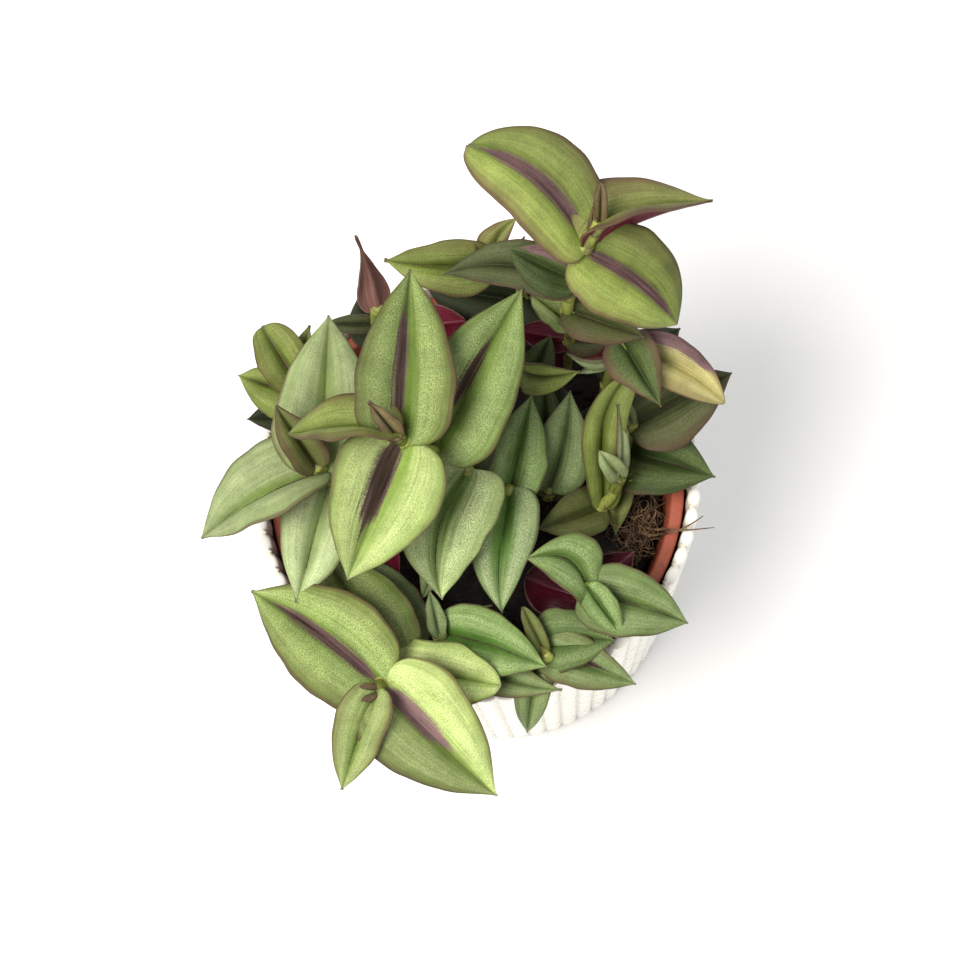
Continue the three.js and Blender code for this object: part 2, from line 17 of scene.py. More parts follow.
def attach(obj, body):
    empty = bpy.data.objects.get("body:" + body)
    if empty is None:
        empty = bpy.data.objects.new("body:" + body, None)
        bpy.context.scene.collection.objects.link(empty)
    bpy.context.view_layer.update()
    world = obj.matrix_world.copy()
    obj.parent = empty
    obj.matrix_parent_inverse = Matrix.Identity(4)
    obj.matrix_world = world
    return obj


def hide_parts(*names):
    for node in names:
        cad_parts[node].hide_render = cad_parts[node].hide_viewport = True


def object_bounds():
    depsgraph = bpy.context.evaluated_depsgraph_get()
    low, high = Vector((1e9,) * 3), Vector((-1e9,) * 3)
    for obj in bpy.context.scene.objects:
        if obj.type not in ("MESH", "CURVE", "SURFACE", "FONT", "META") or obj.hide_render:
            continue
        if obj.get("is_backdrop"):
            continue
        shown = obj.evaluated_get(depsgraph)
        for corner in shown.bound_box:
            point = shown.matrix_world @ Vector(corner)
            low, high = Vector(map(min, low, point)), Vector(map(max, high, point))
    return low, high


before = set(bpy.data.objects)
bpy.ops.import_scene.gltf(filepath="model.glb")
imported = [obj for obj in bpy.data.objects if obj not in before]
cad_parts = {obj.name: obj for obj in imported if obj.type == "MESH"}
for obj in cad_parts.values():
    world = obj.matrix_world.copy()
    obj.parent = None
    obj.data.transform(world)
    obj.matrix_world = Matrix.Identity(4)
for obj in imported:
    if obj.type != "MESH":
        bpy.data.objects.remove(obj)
cad_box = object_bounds()
print("the frame has", len(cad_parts), "nodes, in the box", cad_box)

# %% [markdown]
# Everything is measured in millimetres and made in metres. Blender's colours are linear light, while the
# colours here are matched as sRGB hex values, so one function turns the one into the other.

# %% Millimetres, colours and one way to add a shader node
MM = 0.001


def linear(hex_colour):
    """An sRGB hex value as a linear colour with alpha."""
    parts = [int(hex_colour[i : i + 2], 16) / 255 for i in (1, 3, 5)]
    return [c / 12.92 if c <= 0.04045 else ((c + 0.055) / 1.055) ** 2.4 for c in parts] + [1.0]


def add(tree, kind, inputs=(), give=0, **settings):
    """Adds a shader node and returns one of its outputs, by number among those in use or by name.

    The inputs are a list for the sockets in use, in their order, or go by name. A socket is linked, a hex
    colour is turned to linear light, and any other value is set.
    """
    made = tree.nodes.new("ShaderNode" + kind)
    for name, value in settings.items():
        setattr(made, name, value)
    sockets = [socket for socket in made.inputs if socket.enabled]
    named = {socket.name: socket for socket in reversed(sockets)}
    given = inputs.items() if isinstance(inputs, dict) else enumerate(inputs)
    for key, value in given:
        socket = named[key] if isinstance(key, str) else sockets[key]
        if isinstance(value, bpy.types.NodeSocket):
            tree.links.new(value, socket)
        else:
            socket.default_value = linear(value) if isinstance(value, str) else value
    outputs = [socket for socket in made.outputs if socket.enabled]
    return made.outputs[give] if isinstance(give, str) else outputs[give]


COLOUR = {"data_type": "RGBA"}
SHADE = {"data_type": "RGBA", "blend_type": "MULTIPLY"}
SOFT = {"interpolation_type": "SMOOTHSTEP"}
MINUS = {"operation": "SUBTRACT"}
TIMES = {"operation": "MULTIPLY"}
TIMES_PLUS = {"operation": "MULTIPLY_ADD"}
SIZE = {"operation": "ABSOLUTE"}


def new_material(name, roughness, ior):
    """A material with an even gloss, its node tree and its surface shader's inputs."""
    material = bpy.data.materials.new(name)
    material.use_nodes = True
    skin = material.node_tree.nodes["Principled BSDF"].inputs
    skin["Roughness"].default_value = roughness
    skin["IOR"].default_value = ior
    return material, material.node_tree, skin


print("helpers ready; mid grey #808080 is", round(linear("#808080")[0], 3), "in linear light")

# %% [markdown]
# ## The view
#
# The plant was measured looking steeply down into the pot, with the pot a little turned. The same frame
# places the camera and reads the plant's points: how far across and up they are seen in the plane of the
# pot's mouth, and how high they stand above the table.

# %% The viewing frame, as the model has it
RIM_HEIGHT = 98
VIEW_ELEVATION = math.radians(73)
VIEW_ROLL = math.radians(14)
VIEW_DISTANCE = 550

upright = Vector((0, math.sin(VIEW_ELEVATION), math.cos(VIEW_ELEVATION)))
towards = Vector((0, -math.cos(VIEW_ELEVATION), math.sin(VIEW_ELEVATION)))
level = Vector((1, 0, 0))
across_view = level * math.cos(VIEW_ROLL) - upright * math.sin(VIEW_ROLL)
up_view = level * math.sin(VIEW_ROLL) + upright * math.cos(VIEW_ROLL)
mouth = Vector((0, 0, RIM_HEIGHT))
eye = mouth + towards * VIEW_DISTANCE


def seen(place):
    """The point in millimetres that is seen at (across, up) and stands at that height."""
    across, up, height = place
    ray = mouth + across_view * across + up_view * up - eye
    return eye + ray * ((height - eye.z) / ray.z)


print("the eye is at", [round(c) for c in eye], "mm")

# %% Camera
SENSOR = 36.0
PIXELS = 960
PIXELS_EACH_MM = 3.8
MOUTH_PIXEL = 475

camera_data = bpy.data.cameras.new("camera")
camera_data.sensor_width = SENSOR
camera_data.lens = SENSOR * PIXELS_EACH_MM * VIEW_DISTANCE / PIXELS
camera_data.shift_x = (PIXELS / 2 - MOUTH_PIXEL) / PIXELS
camera_data.clip_start = 0.01
camera = bpy.data.objects.new("camera", camera_data)
turn = Matrix((across_view, up_view, towards)).transposed().to_4x4()
camera.matrix_world = Matrix.Translation(eye * MM) @ turn
bpy.context.scene.collection.objects.link(camera)
bpy.context.scene.camera = camera
print("camera: lens", round(camera_data.lens, 1), "mm, shift", round(camera_data.shift_x, 4))

# %% [markdown]
# ## Floor and light
#
# A pale floor and a big soft lamp over the lower left of the picture, with a weaker one across from it,
# stand for a bright room. The plain Standard view keeps the colours as they are picked.

# %% Floor
FLOOR_SIZE = 6.0


def finish_mesh(name, bm, materials, smooth=True):
    """Turns a bmesh into an object of the scene, at the origin."""
    for face in bm.faces:
        face.smooth = smooth
    mesh = bpy.data.meshes.new(name)
    bm.to_mesh(mesh)
    bm.free()
    for material in materials:
        mesh.materials.append(material)
    made = bpy.data.objects.new(name, mesh)
    bpy.context.scene.collection.objects.link(made)
    return made


def paper_floor():
    """Matt white studio paper, which gives an even, nearly shadeless ground."""
    material, tree, skin = new_material("matt_studio_paper", 0.9, 1.5)
    place = add(tree, "TexCoord", give="Object")
    grain = add(tree, "TexNoise", {"Vector": place, "Scale": 900})
    tree.links.new(add(tree, "Mix", [grain, "#fdfdfd", "#fafafa"], **COLOUR), skin["Base Color"])
    return material


bm = bmesh.new()
bmesh.ops.create_grid(bm, x_segments=2, y_segments=2, size=FLOOR_SIZE / 2)
floor = finish_mesh("floor", bm, [paper_floor()])
floor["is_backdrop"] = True
print("floor of", FLOOR_SIZE, "m")

# %% Lamps and room light
LAMPS = {
    "window_light": {"place": (-0.5, -0.2, 1.05), "size": 0.7, "power": 15.0, "colour": "#fffaf2"},
    "fill_light": {"place": (0.9, 0.5, 0.8), "size": 1.0, "power": 3.0, "colour": "#f6f9ff"},
}
AIM = Vector((0, 0, 0.1))
ROOM_LIGHT = {"colour": "#ffffff", "strength": 0.55}

for name, lamp in LAMPS.items():
    light = bpy.data.lights.new(name, "AREA")
    light.shape = "DISK"
    light.size = lamp["size"]
    light.energy = lamp["power"]
    light.color = linear(lamp["colour"])[:3]
    holder = bpy.data.objects.new(name, light)
    place = Vector(lamp["place"])
    facing = (AIM - place).to_track_quat("-Z", "Y").to_matrix().to_4x4()
    holder.matrix_world = Matrix.Translation(place) @ facing
    bpy.context.scene.collection.objects.link(holder)

world = bpy.data.worlds.new("room")
bpy.context.scene.world = world
world.use_nodes = True
sky = world.node_tree.nodes["Background"]
sky.inputs["Color"].default_value = linear(ROOM_LIGHT["colour"])
sky.inputs["Strength"].default_value = ROOM_LIGHT["strength"]
bpy.context.scene.view_settings.view_transform = "Standard"
print("lamps:", ", ".join(LAMPS))

# %% [markdown]
# ## Turned pieces
#
# Both pots and the soil are turned shapes. A profile of a few points is spun round the upright axis, and
# the seam is merged, so it closes into one skin.

# %% Spin a profile
AXIS = (0, 0, 1)
MOST_OF_SIDE = 0.45


def spin_profile(bm, profile, steps):
    """Spins (radius, height) points in millimetres round the upright axis into a closed skin."""
    corners = [bm.verts.new((radius * MM, 0, height * MM)) for radius, height in profile]
    edges = [bm.edges.new(pair) for pair in zip(corners, corners[1:])]
    bmesh.ops.spin(
        bm, geom=corners + edges, cent=(0, 0, 0), axis=AXIS, angle=math.tau, steps=steps, use_merge=True
    )
    bmesh.ops.remove_doubles(bm, verts=bm.verts, dist=0.01 * MM)
    bmesh.ops.recalc_face_normals(bm, faces=bm.faces)


def rounded(points, radius, segments=4):
    """A profile whose corners are rounded: each corner becomes a short bend."""
    out = [points[0]]
    for before, corner, after in zip(points, points[1:], points[2:]):
        a, c, b = Vector(before), Vector(corner), Vector(after)
        shorter = min((a - c).length, (b - c).length)
        reach = min(radius, shorter * MOST_OF_SIDE)
        start = c + (a - c).normalized() * reach
        end = c + (b - c).normalized() * reach
        for i in range(segments + 1):
            t = i / segments
            out.append(tuple(start.lerp(c, t).lerp(c.lerp(end, t), t)))
    return out + [points[-1]]


def divided(points, longest):
    """A profile with points added, so that no stretch is longer than that."""
    out = [points[0]]
    for before, after in zip(points, points[1:]):
        a, b = Vector(before), Vector(after)
        count = max(1, math.ceil((b - a).length / longest))
        out += [tuple(a.lerp(b, (i + 1) / count)) for i in range(count)]
    return out


print("a right angle rounds to", len(rounded([(0, 0), (1, 0), (1, 1)], 0.2)), "points")

# %% [markdown]
# ## The cover pot
#
# A slip-cast pot in white glaze, fluted with upright ribs. Mould ribs are round and meet in sharp
# valleys, and because the cast wall is thin they show on the inside too, as scallops along the rim.
# The profile is spun in many steps, and each point then moves out or in by a formula of its angle.

# %% The cover pot's section and its ribs
COVER = {"foot_radius": 53, "rim_radius": 59.2, "wall": 2.2, "floor": 4, "inset": 2, "rise": 3}
COVER_PROFILE = {"rounding": 1.2, "stretch": 6}
RIBS = {"count": 66, "depth": 1.1, "inner_depth": 0.8, "roundness": 0.55, "steps_each": 10}


def cover_radius(height):
    """The radius over the ribs' crowns."""
    share = height / RIM_HEIGHT
    return COVER["foot_radius"] + (COVER["rim_radius"] - COVER["foot_radius"]) * share


def cover_profile():
    """The section of the pot's wall, from the middle of the foot round to the middle of the floor."""
    low, rise, thick = COVER["floor"], COVER["rise"], RIBS["depth"] + COVER["wall"]
    outer = [(cover_radius(0) - COVER["inset"], 0), (cover_radius(rise), rise)]
    rim = [(cover_radius(RIM_HEIGHT), RIM_HEIGHT), (cover_radius(RIM_HEIGHT) - thick, RIM_HEIGHT)]
    corners = [(0, 0), *outer, *rim, (cover_radius(low) - thick, low), (0, low)]
    return divided(rounded(corners, COVER_PROFILE["rounding"]), COVER_PROFILE["stretch"])


def rib(angle):
    """0 in a valley between two ribs and 1 on the crown of a rib."""
    return abs(math.sin(angle * RIBS["count"] / 2)) ** RIBS["roundness"]


print("the cover pot's section has", len(cover_profile()), "points")


# %% White glaze
def white_glaze():
    """Glazed white earthenware, with painted shade in the valleys between the ribs, which look warmer and
    darker.
    """
    material, tree, skin = new_material("white_glazed_earthenware", 0.3, 1.5)
    place = add(tree, "TexCoord", give="Object")
    painted_valley_shade = add(tree, "Attribute", give="Fac", attribute_name="valley")
    cloud = add(tree, "TexNoise", {"Vector": place, "Scale": 60, "Detail": 3})
    body = add(tree, "Mix", [cloud, "#f6f5ee", "#efeee4"], **COLOUR)
    # painted shade: the valleys between the ribs are mixed towards a darker, warmer grey
    tree.links.new(add(tree, "Mix", [painted_valley_shade, body, "#d9d2c0"], **COLOUR), skin["Base Color"])
    gloss = add(tree, "TexNoise", {"Vector": place, "Scale": 350})
    tree.links.new(add(tree, "MapRange", [gloss, 0.3, 0.7, 0.24, 0.4]), skin["Roughness"])
    ripple = add(tree, "TexNoise", {"Vector": place, "Scale": 700, "Detail": 3})
    tree.links.new(add(tree, "Bump", {"Height": ripple, "Distance": 0.06 * MM}), skin["Normal"])
    skin["Coat Weight"].default_value = 0.3
    skin["Coat Roughness"].default_value = 0.15
    return material


glaze_finish = white_glaze()
print("finish:", glaze_finish.name)


# %% Spin the cover pot
def rib_shift(radius, height, crown):
    """How far a point of the wall moves out, in millimetres, between or on the ribs."""
    middle = cover_radius(height) - RIBS["depth"] - COVER["wall"] / 2
    if radius > middle:
        return -RIBS["depth"] * (1 - crown)
    if height > COVER["floor"] + COVER["inset"]:
        return RIBS["inner_depth"] * (1 - crown)
    return 0


def make_cover_pot():
    """Spins the wall and pushes its skin in and out by the ribs."""
    bm = bmesh.new()
    spin_profile(bm, cover_profile(), RIBS["count"] * RIBS["steps_each"])
    valley = bm.verts.layers.float.new("valley")
    for vert in bm.verts:
        radius = math.hypot(vert.co.x, vert.co.y) / MM
        crown = rib(math.atan2(vert.co.y, vert.co.x))
        shift = rib_shift(radius, vert.co.z / MM, crown)
        # how deep in a valley each point lies, for the glaze's painted shade there
        vert[valley] = 1 - crown if shift else 0
        if radius > 1:
            vert.co.xy *= (radius + shift) / radius
    return finish_mesh("fluted_cover_pot", bm, [glaze_finish])


cover_pot = make_cover_pot()
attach(cover_pot, "root")
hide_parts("cover_pot")
print("cover pot:", len(cover_pot.data.polygons), "faces,", RIBS["count"], "ribs")

# %% [markdown]
# ## The nursery pot
#
# Growers use thin pots of injection-moulded polypropylene, here in terracotta brown. A rolled lip
# stiffens the rim. It is spun with a fine profile, and the drain holes are cut by one Boolean.

# %% The nursery pot's section
NURSERY = {"rim": 93, "rim_radius": 55, "foot_radius": 38, "wall": 1.2, "floor": 2.7, "rounding": 0.9}
LIP = {"depth": 2.2, "drop": 6, "flare": 0.4}
NURSERY_STEPS = {"round": 160, "stretch": 12}
GAP = 0.3
NURSERY_FLOOR = COVER["floor"] + GAP


def nursery_radius(height):
    """The outer radius of the wall, below and behind the lip."""
    top = NURSERY["rim_radius"] - LIP["depth"]
    share = (height - NURSERY_FLOOR) / (NURSERY["rim"] - NURSERY_FLOOR)
    return NURSERY["foot_radius"] + (top - NURSERY["foot_radius"]) * share


def nursery_profile():
    """The section of the wall with its lip, from the middle underneath to the middle of the floor."""
    rim, wall, low = NURSERY["rim"], NURSERY["wall"], NURSERY_FLOOR
    under, inside = rim - LIP["drop"], low + NURSERY["floor"]
    outer = [(0, low), (NURSERY["foot_radius"], low), (nursery_radius(under), under)]
    lip = [(NURSERY["rim_radius"] - LIP["flare"], under), (NURSERY["rim_radius"], rim)]
    inner = [(nursery_radius(rim) - wall, rim), (nursery_radius(low) - wall, inside), (0, inside)]
    return divided(rounded(outer + lip + inner, NURSERY["rounding"]), NURSERY_STEPS["stretch"])


print("the nursery pot's section has", len(nursery_profile()), "points")


# %% Terracotta-coloured plastic
def terracotta_plastic():
    """Moulded polypropylene, tinted terracotta: waxy, faintly streaked, with soil dust in its grain."""
    material, tree, skin = new_material("terracotta_polypropylene", 0.45, 1.49)
    place = add(tree, "TexCoord", give="Object")
    cloud = add(tree, "TexNoise", {"Vector": place, "Scale": 90, "Detail": 4})
    specks = add(tree, "TexNoise", {"Vector": place, "Scale": 420, "Detail": 4, "Roughness": 0.7})
    dust = add(tree, "MapRange", [specks, 0.54, 0.72, 0, 0.5], **SOFT)
    tint = add(tree, "Mix", [cloud, "#93472f", "#b5604a"], **COLOUR)
    tree.links.new(add(tree, "Mix", [dust, tint, "#3a261c"], **COLOUR), skin["Base Color"])
    tree.links.new(add(tree, "MapRange", [cloud, 0.3, 0.7, 0.38, 0.55]), skin["Roughness"])
    mould = add(tree, "TexNoise", {"Vector": place, "Scale": 1500})
    tree.links.new(add(tree, "Bump", {"Height": mould, "Distance": 0.05 * MM}), skin["Normal"])
    return material


plastic_finish = terracotta_plastic()
print("finish:", plastic_finish.name)

# %% Spin the nursery pot and drill its drain holes
DRAIN = {"count": 6, "radius": 3.5, "ring": 26, "past": 1, "sides": 24}


def cut_holes(piece, places, low, high):
    """Cuts upright round holes through a piece and applies the cut."""
    bm = bmesh.new()
    size = {"radius1": DRAIN["radius"] * MM, "radius2": DRAIN["radius"] * MM, "depth": (high - low) * MM}
    for x, y in places:
        middle = Matrix.Translation(Vector((x, y, (low + high) / 2)) * MM)
        bmesh.ops.create_cone(bm, cap_ends=True, segments=DRAIN["sides"], matrix=middle, **size)
    cutter = finish_mesh("drill", bm, [], smooth=False)
    cut = piece.modifiers.new("holes", "BOOLEAN")
    cut.object = cutter
    cut.solver = "EXACT"
    bpy.context.view_layer.objects.active = piece
    with bpy.context.temp_override(object=piece, active_object=piece):
        bpy.ops.object.modifier_apply(modifier=cut.name)
    bpy.data.objects.remove(cutter)


def make_nursery_pot():
    """Spins the pot and drills a ring of drain holes."""
    bm = bmesh.new()
    spin_profile(bm, nursery_profile(), NURSERY_STEPS["round"])
    pot = finish_mesh("nursery_pot_with_rolled_rim", bm, [plastic_finish])
    turns = [math.tau * i / DRAIN["count"] for i in range(DRAIN["count"])]
    ring = [(DRAIN["ring"] * math.cos(t), DRAIN["ring"] * math.sin(t)) for t in turns]
    cut_holes(pot, ring, NURSERY_FLOOR - DRAIN["past"], NURSERY_FLOOR + NURSERY["floor"] + DRAIN["past"])
    return pot


nursery_pot = make_nursery_pot()
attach(nursery_pot, "root")
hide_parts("nursery_pot")
print("nursery pot:", len(nursery_pot.data.polygons), "faces,", DRAIN["count"], "drain holes")

# %% [markdown]
# ## The soil
#
# Potting soil is dark peat with crumbs, bits of bark and a few pale grains. Its surface follows the
# model's own formula for the lumps, with finer noise on top, and loose crumbs are scattered over it by a
# seeded draw.

# %% The soil's surface
SOIL = {"top": 84, "dome": 2.5, "rise": 1.5, "clearance": 0.3, "rings": 46, "steps": 180}
SOIL_EDGE = {"below_top": 5, "slack": 0.1, "foot_slack": 0.5, "drop": 1.5}
LONG_LUMPS = {"x": 6.3, "x_start": 1, "y": 5.1, "y_start": -0.4, "slanted": 3.7, "slanted_share": 0.6}
ROUGHNESS = [{"height": 0.9, "size": 2.4, "layer": 3}, {"height": 0.5, "size": 1.1, "layer": 8}]


def soil_top(x, y):
    """The height of the low dome of soil, with its lumps."""
    share = math.hypot(x, y) / NURSERY["rim_radius"]
    lumps = math.sin(x / LONG_LUMPS["x"] + LONG_LUMPS["x_start"])
    lumps *= math.cos(y / LONG_LUMPS["y"] + LONG_LUMPS["y_start"])
    lumps += LONG_LUMPS["slanted_share"] * math.sin((x + y) / LONG_LUMPS["slanted"])
    return SOIL["top"] + SOIL["rise"] - SOIL["dome"] * share * share + lumps


def roughness(x, y):
    """Fine unevenness of the soil, in millimetres."""
    return sum(n["height"] * noise.noise(Vector((x, y, n["layer"])) / n["size"]) for n in ROUGHNESS)


def soil_radius(height, slack):
    """The radius of the soil at a height, just clear of the nursery pot's wall."""
    return nursery_radius(height) - NURSERY["wall"] - SOIL["clearance"] - slack


soil_edge = soil_radius(SOIL["top"] - SOIL_EDGE["below_top"], SOIL_EDGE["slack"])
print("the soil is", round(2 * soil_edge, 1), "mm across")


# %% Moist peat
def potting_soil():
    """Moist peat: almost black, matt, with brown fibres and a few dry, paler crumbs."""
    material, tree, skin = new_material("moist_peat_soil", 0.92, 1.45)
    place = add(tree, "TexCoord", give="Object")
    coarse = add(tree, "TexNoise", {"Vector": place, "Scale": 260, "Detail": 4, "Roughness": 0.65})
    fine = add(tree, "TexNoise", {"Vector": place, "Scale": 1400, "Detail": 3, "Roughness": 0.6})
    wet = add(tree, "MapRange", [coarse, 0.35, 0.7], **SOFT)
    peat = add(tree, "Mix", [wet, "#0d0a09", "#241b15"], **COLOUR)
    dry = add(tree, "MapRange", [fine, 0.6, 0.76], **SOFT)
    tree.links.new(add(tree, "Mix", [dry, peat, "#54402f"], **COLOUR), skin["Base Color"])
    tree.links.new(add(tree, "Bump", {"Height": fine, "Distance": 0.4 * MM}), skin["Normal"])
    return material


soil_finish = potting_soil()
print("finish:", soil_finish.name)

# %% Spin the soil and scatter its crumbs
CRUMBS = {"count": 420, "smallest": 0.5, "largest": 1.7, "few_large": 2.5}
CRUMBS.update({"spread": 0.97, "raised": 0.3, "uneven": 0.15})


def join(bm, part):
    """Adds a finished part to a bigger mesh, which is quicker than growing it in place."""
    passing = bpy.data.meshes.new("part")
    part.to_mesh(passing)
    part.free()
    bm.from_mesh(passing)
    bpy.data.meshes.remove(passing)


def add_crumb(bm, draw):
    """One loose crumb: a small, squashed and uneven ball, somewhere on the soil."""
    radius = soil_edge * math.sqrt(draw.random()) * CRUMBS["spread"]
    angle = draw.uniform(0, math.tau)
    larger = draw.random() ** CRUMBS["few_large"]
    size = CRUMBS["smallest"] + (CRUMBS["largest"] - CRUMBS["smallest"]) * larger
    x, y = radius * math.cos(angle), radius * math.sin(angle)
    place = Vector((x, y, soil_top(x, y) + size * CRUMBS["raised"])) * MM
    spin = Quaternion((draw.random(), draw.random(), draw.random() - 0.5), draw.uniform(0, 3))
    squash = Matrix.Diagonal((1, draw.uniform(0.5, 1), draw.uniform(0.5, 0.9), 1))
    lie = Matrix.Translation(place) @ spin.to_matrix().to_4x4() @ squash
    crumb = bmesh.new()
    bmesh.ops.create_icosphere(crumb, subdivisions=1, radius=size * MM, matrix=lie)
    for vert in crumb.verts:
        vert.co += Vector((draw.uniform(-1, 1), draw.uniform(-1, 1), 0)) * size * CRUMBS["uneven"] * MM
    join(bm, crumb)


def make_soil():
    """Spins a plug of soil, roughens its top and scatters the crumbs."""
    low = NURSERY_FLOOR + NURSERY["floor"] + SOIL["clearance"]
    plug = [(0, low), (soil_radius(low, SOIL_EDGE["foot_slack"]), low)]
    surface = [(soil_edge * (1 - i / SOIL["rings"]), SOIL["top"]) for i in range(SOIL["rings"] + 1)]
    bm = bmesh.new()
    spin_profile(bm, plug + surface, SOIL["steps"])
    for vert in bm.verts:
        is_foot = vert.co.z < SOIL["top"] / 2 * MM
        if is_foot:
            continue
        x, y = vert.co.x / MM, vert.co.y / MM
        drop = SOIL_EDGE["drop"] if math.hypot(x, y) > soil_edge - SOIL_EDGE["slack"] else 0
        vert.co.z = (soil_top(x, y) + roughness(x, y) - drop) * MM
    draw = random.Random(11)
    for _ in range(CRUMBS["count"]):
        add_crumb(bm, draw)
    return finish_mesh("soil_with_crumbs", bm, [soil_finish])


soil = make_soil()
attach(soil, "root")
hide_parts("soil")
print("soil:", len(soil.data.polygons), "faces with", CRUMBS["count"], "crumbs")

# %% [markdown]
# ## Stems
#
# An inch plant's stem is a juicy tube, jointed at nodes. It climbs through a few chosen points on a
# centripetal Catmull-Rom curve, the same curve as in the model. A tube is a circle that is extruded ring
# by ring: each new ring is moved, turned and scaled from the one before.

# %% Curves and tubes
STEM = {"radius": 1.5, "tip": 0.6, "hole_depth": 10, "collar": 2, "straight_top": 90, "sides": 12}
SAMPLES = 80


def curve_point(points, share):
    """A point of the centripetal Catmull-Rom curve through the points, at a share of its spans."""
    last = len(points) - 1
    span = min(int(share * last), last - 1)
    t = share * last - span
    p1, p2 = points[span], points[span + 1]
    p0 = points[span - 1] if span > 0 else p1 * 2 - p2
    p3 = points[span + 2] if span + 2 <= last else p2 * 2 - p1
    d0, d1, d2 = (math.sqrt(max((b - a).length, 1e-6)) for a, b in ((p0, p1), (p1, p2), (p2, p3)))
    m1 = ((p1 - p0) / d0 - (p2 - p0) / (d0 + d1) + (p2 - p1) / d1) * d1
    m2 = ((p2 - p1) / d1 - (p3 - p1) / (d1 + d2) + (p3 - p2) / d2) * d1
    c2 = (p2 - p1) * 3 - m1 * 2 - m2
    c3 = (p1 - p2) * 2 + m1 + m2
    return p1 + m1 * t + c2 * t * t + c3 * t * t * t


def frames_along(points):
    """One turned frame for each point, with Z along the path and no sudden twist."""
    found = []
    side = None
    for i, point in enumerate(points):
        ahead = (points[min(i + 1, len(points) - 1)] - points[max(i - 1, 0)]).normalized()
        side = ahead.orthogonal() if side is None else side - ahead * side.dot(ahead)
        side = side.normalized()
        other = ahead.cross(side)
        turn = Matrix((side, other, ahead)).transposed().to_4x4()
        found.append(Matrix.Translation(point * MM) @ turn)
    return found


def tube(bm, points, radii, sides, material=0):
    """Adds a closed tube through points in millimetres, with a radius for each."""
    frames = frames_along(points)
    part = bmesh.new()
    bmesh.ops.create_circle(part, cap_ends=True, segments=sides, radius=radii[0] * MM, matrix=frames[0])
    edges = part.edges[:]
    for i in range(1, len(points)):
        out = bmesh.ops.extrude_edge_only(part, edges=edges)["geom"]
        verts = [g for g in out if isinstance(g, bmesh.types.BMVert)]
        edges = [g for g in out if isinstance(g, bmesh.types.BMEdge) and not g.link_faces[1:]]
        grow = Matrix.Diagonal((radii[i] / radii[i - 1],) * 3).to_4x4()
        bmesh.ops.transform(part, matrix=frames[i] @ grow @ frames[i - 1].inverted(), verts=verts)
    bmesh.ops.edgeloop_fill(part, edges=edges)
    bmesh.ops.recalc_face_normals(part, faces=part.faces)
    for face in part.faces:
        face.material_index = material
    join(bm, part)


bm = bmesh.new()
tube(bm, [Vector((0, 0, z)) for z in range(4)], [1] * 4, 8)
print("a tube of 4 rings and 8 sides has", len(bm.faces), "faces")
bm.free()

# %% [markdown]
# ## One leaf
#
# A point of a blade is given by two shares: how far it lies from the midrib to the edge, and how far from
# base to tip. Formulas turn them into a place: an egg-shaped outline, two halves that lift from the
# midrib and puff up like pillows, a narrow groove between them, and slightly waved edges.

# %% A blade's outline
BLADE = {"thickness": 0.6, "neck": 0.14, "base_fullness": 0.3, "sink": 1.1, "sink_fade": 12}
TIP = {"pinch": 0.6, "sharpness": 9, "least_half": 0.22}
EDGE = {"ragged": 0.05, "bumps": 7, "sides_apart": 3, "smooth_tip": 4}


def outline(s, taper):
    """The blade's width at a share of its length, as a part of its greatest width."""
    fullness = BLADE["base_fullness"]
    peak = fullness / (fullness + taper)
    pointed = min(1, max(0, 2.5 * taper - 1))
    egg = (s / peak) ** fullness * ((1 - s) / (1 - peak)) ** taper if 0 < s < 1 else 0
    return egg * (1 - TIP["pinch"] * pointed * s ** TIP["sharpness"])


def half_width(leaf, traits, a, s):
    """Half the blade's width in millimetres, with its own slightly ragged edge on either side."""
    spot = traits["spot"] + Vector((s * EDGE["bumps"], math.copysign(EDGE["sides_apart"], a), 0))
    ragged = 1 + EDGE["ragged"] * noise.noise(spot) * min(1, EDGE["smooth_tip"] * (1 - s))
    share = max(outline(s, leaf["taper"]) * ragged, BLADE["neck"] * (1 - s))
    return max(leaf["wide"] / 2 * share, TIP["least_half"])


print("a blade's outline at a third of its length is", round(outline(0.34, 0.8), 2), "of its width")

# %% A blade's relief, and what differs from leaf to leaf
GROOVE = {"depth": 0.25, "width": 0.45, "round": 0.9, "full_from": 6}
PILLOW = {"lean": 1.1, "fullness": 0.3}
WAVES = {"fewest": 1.6, "most": 2.6, "full_from": 8}
LUMPS = {"height": 0.3, "size": 5}
MOST_TWIST = 14
NOISE_ROOM = 50


def own_traits(draw):
    """The number of waves and where they start on either side, the twist, and a spot in the noise."""
    return {
        "waves": draw.uniform(WAVES["fewest"], WAVES["most"]),
        "starts": (draw.random(), draw.random()),
        "twist": draw.uniform(-MOST_TWIST, MOST_TWIST),
        "spot": Vector((draw.random(), draw.random(), draw.random())) * NOISE_ROOM,
    }


def relief(leaf, traits, half, a, s, down):
    """How far the skin stands out from the folded blade, in millimetres."""
    t = abs(a)
    round_across = math.sin(math.pi * t ** PILLOW["lean"])
    pillow = leaf["puff"] * half * round_across * math.sin(math.pi * s) ** PILLOW["fullness"]
    dip = math.exp(-((t * half / GROOVE["width"]) ** 2))
    groove = GROOVE["depth"] * min(1, half / GROOVE["full_from"]) * dip
    swing = t**3 * math.sin(math.tau * (traits["waves"] * s + traits["starts"][a > 0]))
    wave = leaf["wave"] * min(1, half / WAVES["full_from"]) * swing
    lumps = LUMPS["height"] * t * noise.noise(traits["spot"] + Vector((a * half, down, 0)) / LUMPS["size"])
    return pillow - groove + wave + lumps


print("leaves twist by up to", MOST_TWIST, "degrees")

# %% A blade's place, fold and bows
FOLD = {"base": 1.2, "tip": 0.8}
SLOPE_STEP = 0.01


def even_bow(s):
    """0 at both ends of the blade and 1 half way."""
    return 4 * s * (1 - s)


def late_bow(s):
    """0 at both ends of the blade and 1 at two thirds of its length."""
    return 6.75 * s * s * (1 - s)


